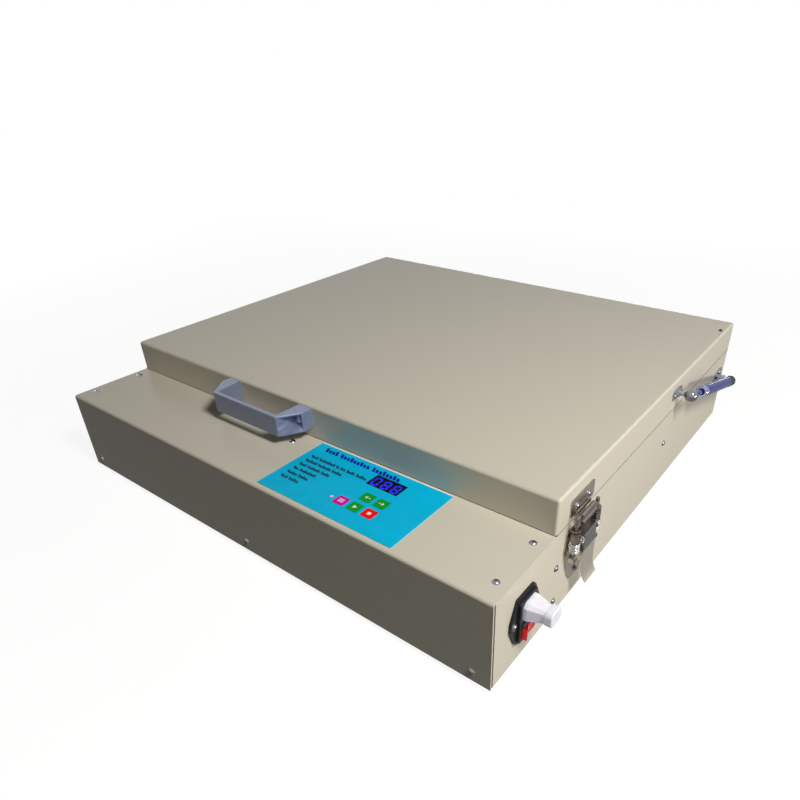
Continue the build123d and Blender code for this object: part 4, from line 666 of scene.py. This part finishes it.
DOT_RISE = 2.4 * MM  # over the foot of its line
DOT_SIZE = 1.6 * MM
DOT_CORNER = 0.79 * MM
DOT_SPACE = 3.0 * MM  # from the dot's left edge to its line


def panel_words(bm, x, y, words, mark, space):
    """A row of words shown as plain leaning blocks, some low and some tall."""
    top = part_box("panel_overlay")[1].z
    pitch, low, tall = mark
    for count in words:
        for i in range(count):
            height = low if i % TALL_EVERY else tall
            outline = rounded_bar(0, 0, MARK_WIDTH * pitch, height, MARK_CORNER * pitch,
                                  MARK_CORNER_STEPS)
            prism(bm, [(x + u + TEXT_SLANT * v, y + v) for u, v in outline], top, top + INK)
            x += pitch
        x += space * pitch


def panel_text():
    """Stands for a panel's wording: a heading and six lines with dots, with no letters."""
    heading = bmesh.new()
    panel_words(heading, *HEADING_PLACE, HEADING_WORDS, HEADING_MARK, HEADING_SPACE)
    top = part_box("panel_overlay")[1].z
    lines = bmesh.new()
    x, first_y = LINE_PLACE
    for row, words in enumerate(LINE_WORDS):
        y = first_y - row * LINE_PITCH
        dot_y = y + DOT_RISE
        dot = rounded_bar(x, dot_y, x + DOT_SIZE, dot_y + DOT_SIZE, DOT_CORNER)
        prism(lines, dot, top, top + INK)
        panel_words(lines, x + DOT_SPACE, y, words, LINE_MARK, LINE_SPACE)
    print_on_panel("panel_heading", heading, membrane("ink_blue", (0.004, 0.010, 0.36)))
    print_on_panel("panel_lines", lines, membrane("ink_black", (0.004, 0.010, 0.05)))


def panel_border():
    """The film's pale uncoloured back edge."""
    low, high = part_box("panel_overlay")
    bm = bmesh.new()
    block(bm, low.x, high.y - BORDER, high.x, high.y, high.z, high.z + INK)
    print_on_panel("panel_border", bm, membrane("film_edge", (1.0, 0.90, 0.85)))


def print_on_panel(name, bm, ink):
    """A flat layer of ink on the panel's film."""
    new_piece(name, mesh_from(name, bm), "base", "membrane_blue", ink)


# Seven-segment digits: which of the segments a to g are lit
SEGMENTS = {"0": "abcdef", "8": "abcdefg"}
DIGITS = "088"
DIGIT_WIDTH = 7.1 * MM
DIGIT_HEIGHT = 12.9 * MM
DIGIT_PITCH = 13.2 * MM
SEGMENT_WIDTH = 2.4 * MM
SEGMENT_GAP = 0.2 * MM
DIGITS_LOW = 0.9 * MM  # how far the digits sit below the window's middle


def segment_bar(start, end):
    """Outline of one segment: a bar with pointed ends between two corners of the digit."""
    along = (end - start).normalized()
    tip = along * (SEGMENT_WIDTH / 2)
    across = Vector((-tip.y, tip.x))
    a = start + along * SEGMENT_GAP
    b = end - along * SEGMENT_GAP
    return [a, a + tip - across, b - tip - across, b, b - tip + across, a + tip + across]


def segment_outlines():
    """Outlines of the segments of one digit about its middle."""
    w, h = DIGIT_WIDTH / 2, DIGIT_HEIGHT / 2
    corners = {
        "a": (-w, h, w, h), "b": (w, 0, w, h), "c": (w, -h, w, 0), "d": (-w, -h, w, -h),
        "e": (-w, -h, -w, 0), "f": (-w, 0, -w, h), "g": (-w, 0, w, 0),
    }
    return {name: segment_bar(Vector((x0, y0)), Vector((x1, y1)))
            for name, (x0, y0, x1, y1) in corners.items()}


def display_digits():
    """Three generic blue digits on the display's dark window."""
    low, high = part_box("display_window")
    middle = (low + high) / 2
    cy = middle.y - DIGITS_LOW
    bm = bmesh.new()
    for i, digit in enumerate(DIGITS):
        cx = middle.x + (i - (len(DIGITS) - 1) / 2) * DIGIT_PITCH
        for name, outline in segment_outlines().items():
            if name in SEGMENTS[digit]:
                prism(bm, [(cx + p.x, cy + p.y) for p in outline], high.z, high.z + INK)
    blue = glowing("digit_blue", (0.0, 0.006, 1.0), 1.0)
    new_piece("display_digits", mesh_from("display_digits", bm), "base", "window", blue)


KEY_SIGN = 2.6 * MM  # unit of the signs' outlines


def mirrored(outline):
    """The outline turned round left to right, with its points still in the same sense."""
    return [(-x, y) for x, y in outline][::-1]


def key_signs():
    """Generic signs about a key's middle: arrows, a triangle, a square and three bars."""
    r = KEY_SIGN
    head = [(-1.3 * r, 0), (0.0, -0.8 * r), (0.0, 0.8 * r)]
    shaft = rounded_bar(0.5 * r, -0.16 * r, 1.5 * r, 0.16 * r, 0.1 * r, 2)
    start = [(-0.8 * r, -r), (1.1 * r, 0), (-0.8 * r, r)]
    stop = rounded_bar(-0.8 * r, -0.8 * r, 0.8 * r, 0.8 * r, 0.3 * r)
    heights = (-0.8 * r, 0, 0.8 * r)
    bars = [rounded_bar(-1.3 * r, y - 0.2 * r, 1.3 * r, y + 0.2 * r, 0.15 * r, 2) for y in heights]
    return {
        "key_up": [head, shaft],
        "key_down": [mirrored(head), mirrored(shaft)],
        "key_start": [start],
        "key_stop": [stop],
        "key_mode": bars,
    }


def key_symbols():
    """Prints each key's white sign, which rides on the key."""
    ink = membrane("ink_white", (0.88, 0.88, 0.88), 0.4)
    for node, outlines in key_signs().items():
        low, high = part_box(node)
        middle = (low + high) / 2
        bm = bmesh.new()
        for outline in outlines:
            prism(bm, [(middle.x + x, middle.y + y) for x, y in outline], high.z, high.z + INK)
        name = node + "_mark"
        body = frame["nodes"][node]["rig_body"]
        new_piece(name, mesh_from(name, bm), body, "white_plastic", ink)


# ------------------------------------------------------------------ latch springs
SPRING_TURNS = 6.5
SPRING_WIRE = 0.46 * MM  # radius of the wire
SPRING_POINTS = 24  # points in each turn


def helix(x, y, radius, z0, z1):
    """Points of an upright helix around (x, y)."""
    count = int(SPRING_TURNS * SPRING_POINTS)
    points = []
    for i in range(count + 1):
        share = i / count
        a = tau * SPRING_TURNS * share
        points.append((x + radius * cos(a), y + radius * sin(a), z0 + (z1 - z0) * share))
    return points


def latch_springs():
    """A real helix on each latch rod, in place of the CAD's rings."""
    for side in SIDES:
        node = f"latch_springs_{side}"
        body = f"latch_hook_{side}"
        low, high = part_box(node)
        outer = (high.x - low.x) / 2
        x = (low.x + high.x) / 2
        for place, y in (("front", low.y + outer), ("back", high.y - outer)):
            name = f"spring_{place}_{side}"
            radius = outer - SPRING_WIRE
            points = helix(x, y, radius, low.z + SPRING_WIRE, high.z - SPRING_WIRE)
            wire(name, points, SPRING_WIRE, body, "stainless", spring_wire)
        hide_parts(node)


# ------------------------------------------------------------------ gas struts
STRUT_TUBE_RADIUS = 7.5 * MM
STRUT_RINGS = (  # name, place from the tube's open end, width
    ("bright", -0.2 * MM, 1.6 * MM),
    ("seam", 6.5 * MM, 0.8 * MM),
)
STRUT_RING_PROUD = 0.18 * MM
STRUT_RING_SUNK = 0.5 * MM
STRUT_FACE_BORE = 4.6 * MM  # radius of the hole that the rod passes
STRUT_FACE_INSET = 0.9 * MM
STRUT_FACE_OUT = 1.3 * MM
STRUT_FACE_WIDTH = 0.8 * MM
STRUT_CAP = 7.0 * MM
BALL_REACH = 1.3  # in ball radii: a vertex nearer to the lower ball's middle is the ball's own
ON_TUBE = 0.05 * MM  # how far from the tube's surface a vertex of it may lie
RING_STEPS = 48
RING_CHAMFER = 0.3  # as a share of the ring's wall


def turned_ring(bm, start, along, inner, outer, width):
    """A flat ring around an axis, with a small chamfer on its outer edges."""
    side = along.orthogonal().normalized()
    other = along.cross(side)
    soft = RING_CHAMFER * (outer - inner)
    section = [(0, inner), (0, outer - soft), (soft, outer), (width - soft, outer),
               (width, outer - soft), (width, inner)]
    loops = []
    for i in range(RING_STEPS):
        a = tau * i / RING_STEPS
        out = side * cos(a) + other * sin(a)
        loops.append([bm.verts.new(start + along * d + out * r) for d, r in section])
    for i in range(RING_STEPS):
        here, there = loops[i], loops[(i + 1) % RING_STEPS]
        for k in range(len(section)):
            n = (k + 1) % len(section)
            bm.faces.new((here[k], here[n], there[n], there[k]))


def strut_tube_ends(side):
    """The tube's direction, from its open end down, and the middles of its two ends."""
    rod_low, rod_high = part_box(f"strut_rod_{side}")
    tube_low, tube_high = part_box(f"strut_cylinder_{side}")
    ball = (tube_high.x - tube_low.x) / 2
    x = tube_low.x + ball
    upper = Vector((x, rod_low.y + ball, rod_high.z - ball))
    lower = Vector((x, tube_high.y - ball, tube_low.z + ball))
    along = (lower - upper).normalized()
    steps = []
    for vertex in frame["nodes"][f"strut_cylinder_{side}"].data.vertices:
        offset = vertex.co - upper
        on_ball = (vertex.co - lower).length < BALL_REACH * ball
        if not on_ball and abs(offset.cross(along).length - STRUT_TUBE_RADIUS) < ON_TUBE:
            steps.append(offset.dot(along))
    return along, upper + along * min(steps), upper + along * max(steps)


def strut_trim(name, side, place, along, radii, width, slot, made=None):
    """One turned piece of trim on a strut's tube."""
    bm = bmesh.new()
    turned_ring(bm, place, along, *radii, width)
    bmesh.ops.recalc_face_normals(bm, faces=bm.faces)
    piece_name = f"strut_{name}_{side}"
    mesh = mesh_from(piece_name, bm)
    new_piece(piece_name, mesh, f"strut_tube_{side}", slot, made)
    shade_smooth(mesh)


def strut_rings():
    """Bright rings and an end face where the rod enters the tube, and a dark cap at its far end."""
    band = (STRUT_TUBE_RADIUS - STRUT_RING_SUNK, STRUT_TUBE_RADIUS + STRUT_RING_PROUD)
    face = (STRUT_FACE_BORE, STRUT_TUBE_RADIUS - STRUT_FACE_INSET)
    for side in SIDES:
        along, mouth, heel = strut_tube_ends(side)
        for name, start, width in STRUT_RINGS:
            place = mouth + along * start
            strut_trim(name, side, place, along, band, width, "chrome", spring_wire)
        place = mouth - along * STRUT_FACE_OUT
        strut_trim("face", side, place, along, face, STRUT_FACE_WIDTH, "chrome", spring_wire)
        place = heel - along * STRUT_CAP
        strut_trim("cap", side, place, along, band, STRUT_CAP, "black_plastic")


# ------------------------------------------------------------------ painted shade: dark strip under the lid's rim
RIM_INSET = 0.4 * MM
RIM_SHADE_STRIP_WIDTH = 0.9 * MM
RIM_SHADE_STRIP_TOP = 0.25 * MM  # below the rim
RIM_SHADE_STRIP_DEPTH = 1.45 * MM
RIM_SHADE_LIP_PROUD = 0.03 * MM
RIM_SHADE_LIP_TOP = 0.08 * MM  # below the rim
RIM_SHADE_LIP_HEIGHT = 0.7 * MM


def rim_shade_strip():
    """A black strip on the base's edge that stands for the shade in the gap under the lid's rim:
    painted shade, shown as a dark line.

    On the right and left sides a lip of it comes out to the cabinet's face as a painted shadow
    line.
    """
    low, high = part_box("lid_shell")
    x0, y0 = low.x + RIM_INSET, low.y + RIM_INSET
    x1, y1 = high.x - RIM_INSET, high.y - RIM_INSET
    w = RIM_SHADE_STRIP_WIDTH
    bm = bmesh.new()
    top = low.z - RIM_SHADE_STRIP_TOP
    runs = ((x0, y0, x1, y0 + w), (x0, y1 - w, x1, y1),
            (x0, y0 + w, x0 + w, y1 - w), (x1 - w, y0 + w, x1, y1 - w))
    for run in runs:
        block(bm, *run, top - RIM_SHADE_STRIP_DEPTH, top)
    # the lip is a painted shadow line on the cabinet's face
    top = low.z - RIM_SHADE_LIP_TOP
    lips = ((low.x - RIM_SHADE_LIP_PROUD, y0, x0 + w, y1), (x1 - w, y0, high.x + RIM_SHADE_LIP_PROUD, y1))
    for lip in lips:
        block(bm, *lip, top - RIM_SHADE_LIP_HEIGHT, top)
    new_piece("rim_shade_strip", mesh_from("rim_shade_strip", bm), "base", "black_rubber")


# ------------------------------------------------------------------ foam pad
PAD_VOXEL = 6.0 * MM
PAD_SHRINK = 3.0 * MM
PAD_CORNER = 8.0 * MM
PAD_PRESSURE = 3.0
PAD_CAP = 3.0 * MM  # the most that a point may move
PAD_FRAMES = 20


def foam_pad():
    """The foam pad under the lid: a slab whose edges round over and whose face crowns a little."""
    low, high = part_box("foam_pad")
    low = low + Vector((PAD_SHRINK, PAD_SHRINK, PAD_SHRINK))
    high = high - Vector((PAD_SHRINK, PAD_SHRINK, 0))
    bm = bmesh.new()
    prism(bm, rounded_bar(low.x, low.y, high.x, high.y, PAD_CORNER), low.z, high.z)
    pad = new_piece("foam_pad_soft", mesh_from("foam_pad_soft", bm), "lid", "foam")
    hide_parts("foam_pad")
    swell(pad, high.z)
    shade_smooth(pad.data, angle=50.0)


def swell(pad, ceiling):
    """Inflates the pad a little with a cloth simulation, held flat under the board."""
    remesh = pad.modifiers.new("remesh", "REMESH")
    remesh.mode = "VOXEL"
    remesh.voxel_size = PAD_VOXEL
    apply_modifiers(pad)
    rest = [v.co.copy() for v in pad.data.vertices]
    simulate(pad, [i for i, co in enumerate(rest) if co.z > ceiling - PAD_VOXEL])
    for vertex, start in zip(pad.data.vertices, rest):
        move = vertex.co - start
        if move.length > PAD_CAP:
            move = move.normalized() * PAD_CAP
        vertex.co = start + move
        vertex.co.z = min(vertex.co.z, ceiling)
    bpy.context.scene.frame_set(1)


def simulate(pad, glued):
    """Runs the cloth under pressure, with the glued vertices held, and keeps its result."""
    group = pad.vertex_groups.new(name="glued")
    group.add(glued, 1.0, "REPLACE")
    cloth = pad.modifiers.new("cloth", "CLOTH")
    cloth.settings.use_pressure = True
    cloth.settings.uniform_pressure_force = PAD_PRESSURE
    cloth.settings.effector_weights.gravity = 0.0
    cloth.settings.vertex_group_mass = "glued"
    cloth.point_cache.frame_start = 1
    cloth.point_cache.frame_end = PAD_FRAMES
    for step in range(1, PAD_FRAMES + 1):
        bpy.context.scene.frame_set(step)
    apply_modifiers(pad)


def apply_modifiers(piece):
    """Gives the piece the mesh that its modifiers make, and removes them."""
    graph = bpy.context.evaluated_depsgraph_get()
    made = bpy.data.meshes.new_from_object(piece.evaluated_get(graph))
    old = piece.data
    piece.modifiers.clear()
    piece.data = made
    bpy.data.meshes.remove(old)


# ------------------------------------------------------------------ put it together
add_camera()
set_world()
add_floor()
light_stage()
dress_cad_nodes()
panel_text()
panel_border()
display_digits()
key_symbols()
latch_springs()
strut_rings()
rim_shade_strip()
foam_pad()

view = bpy.context.scene.view_settings
view.view_transform = "Standard"
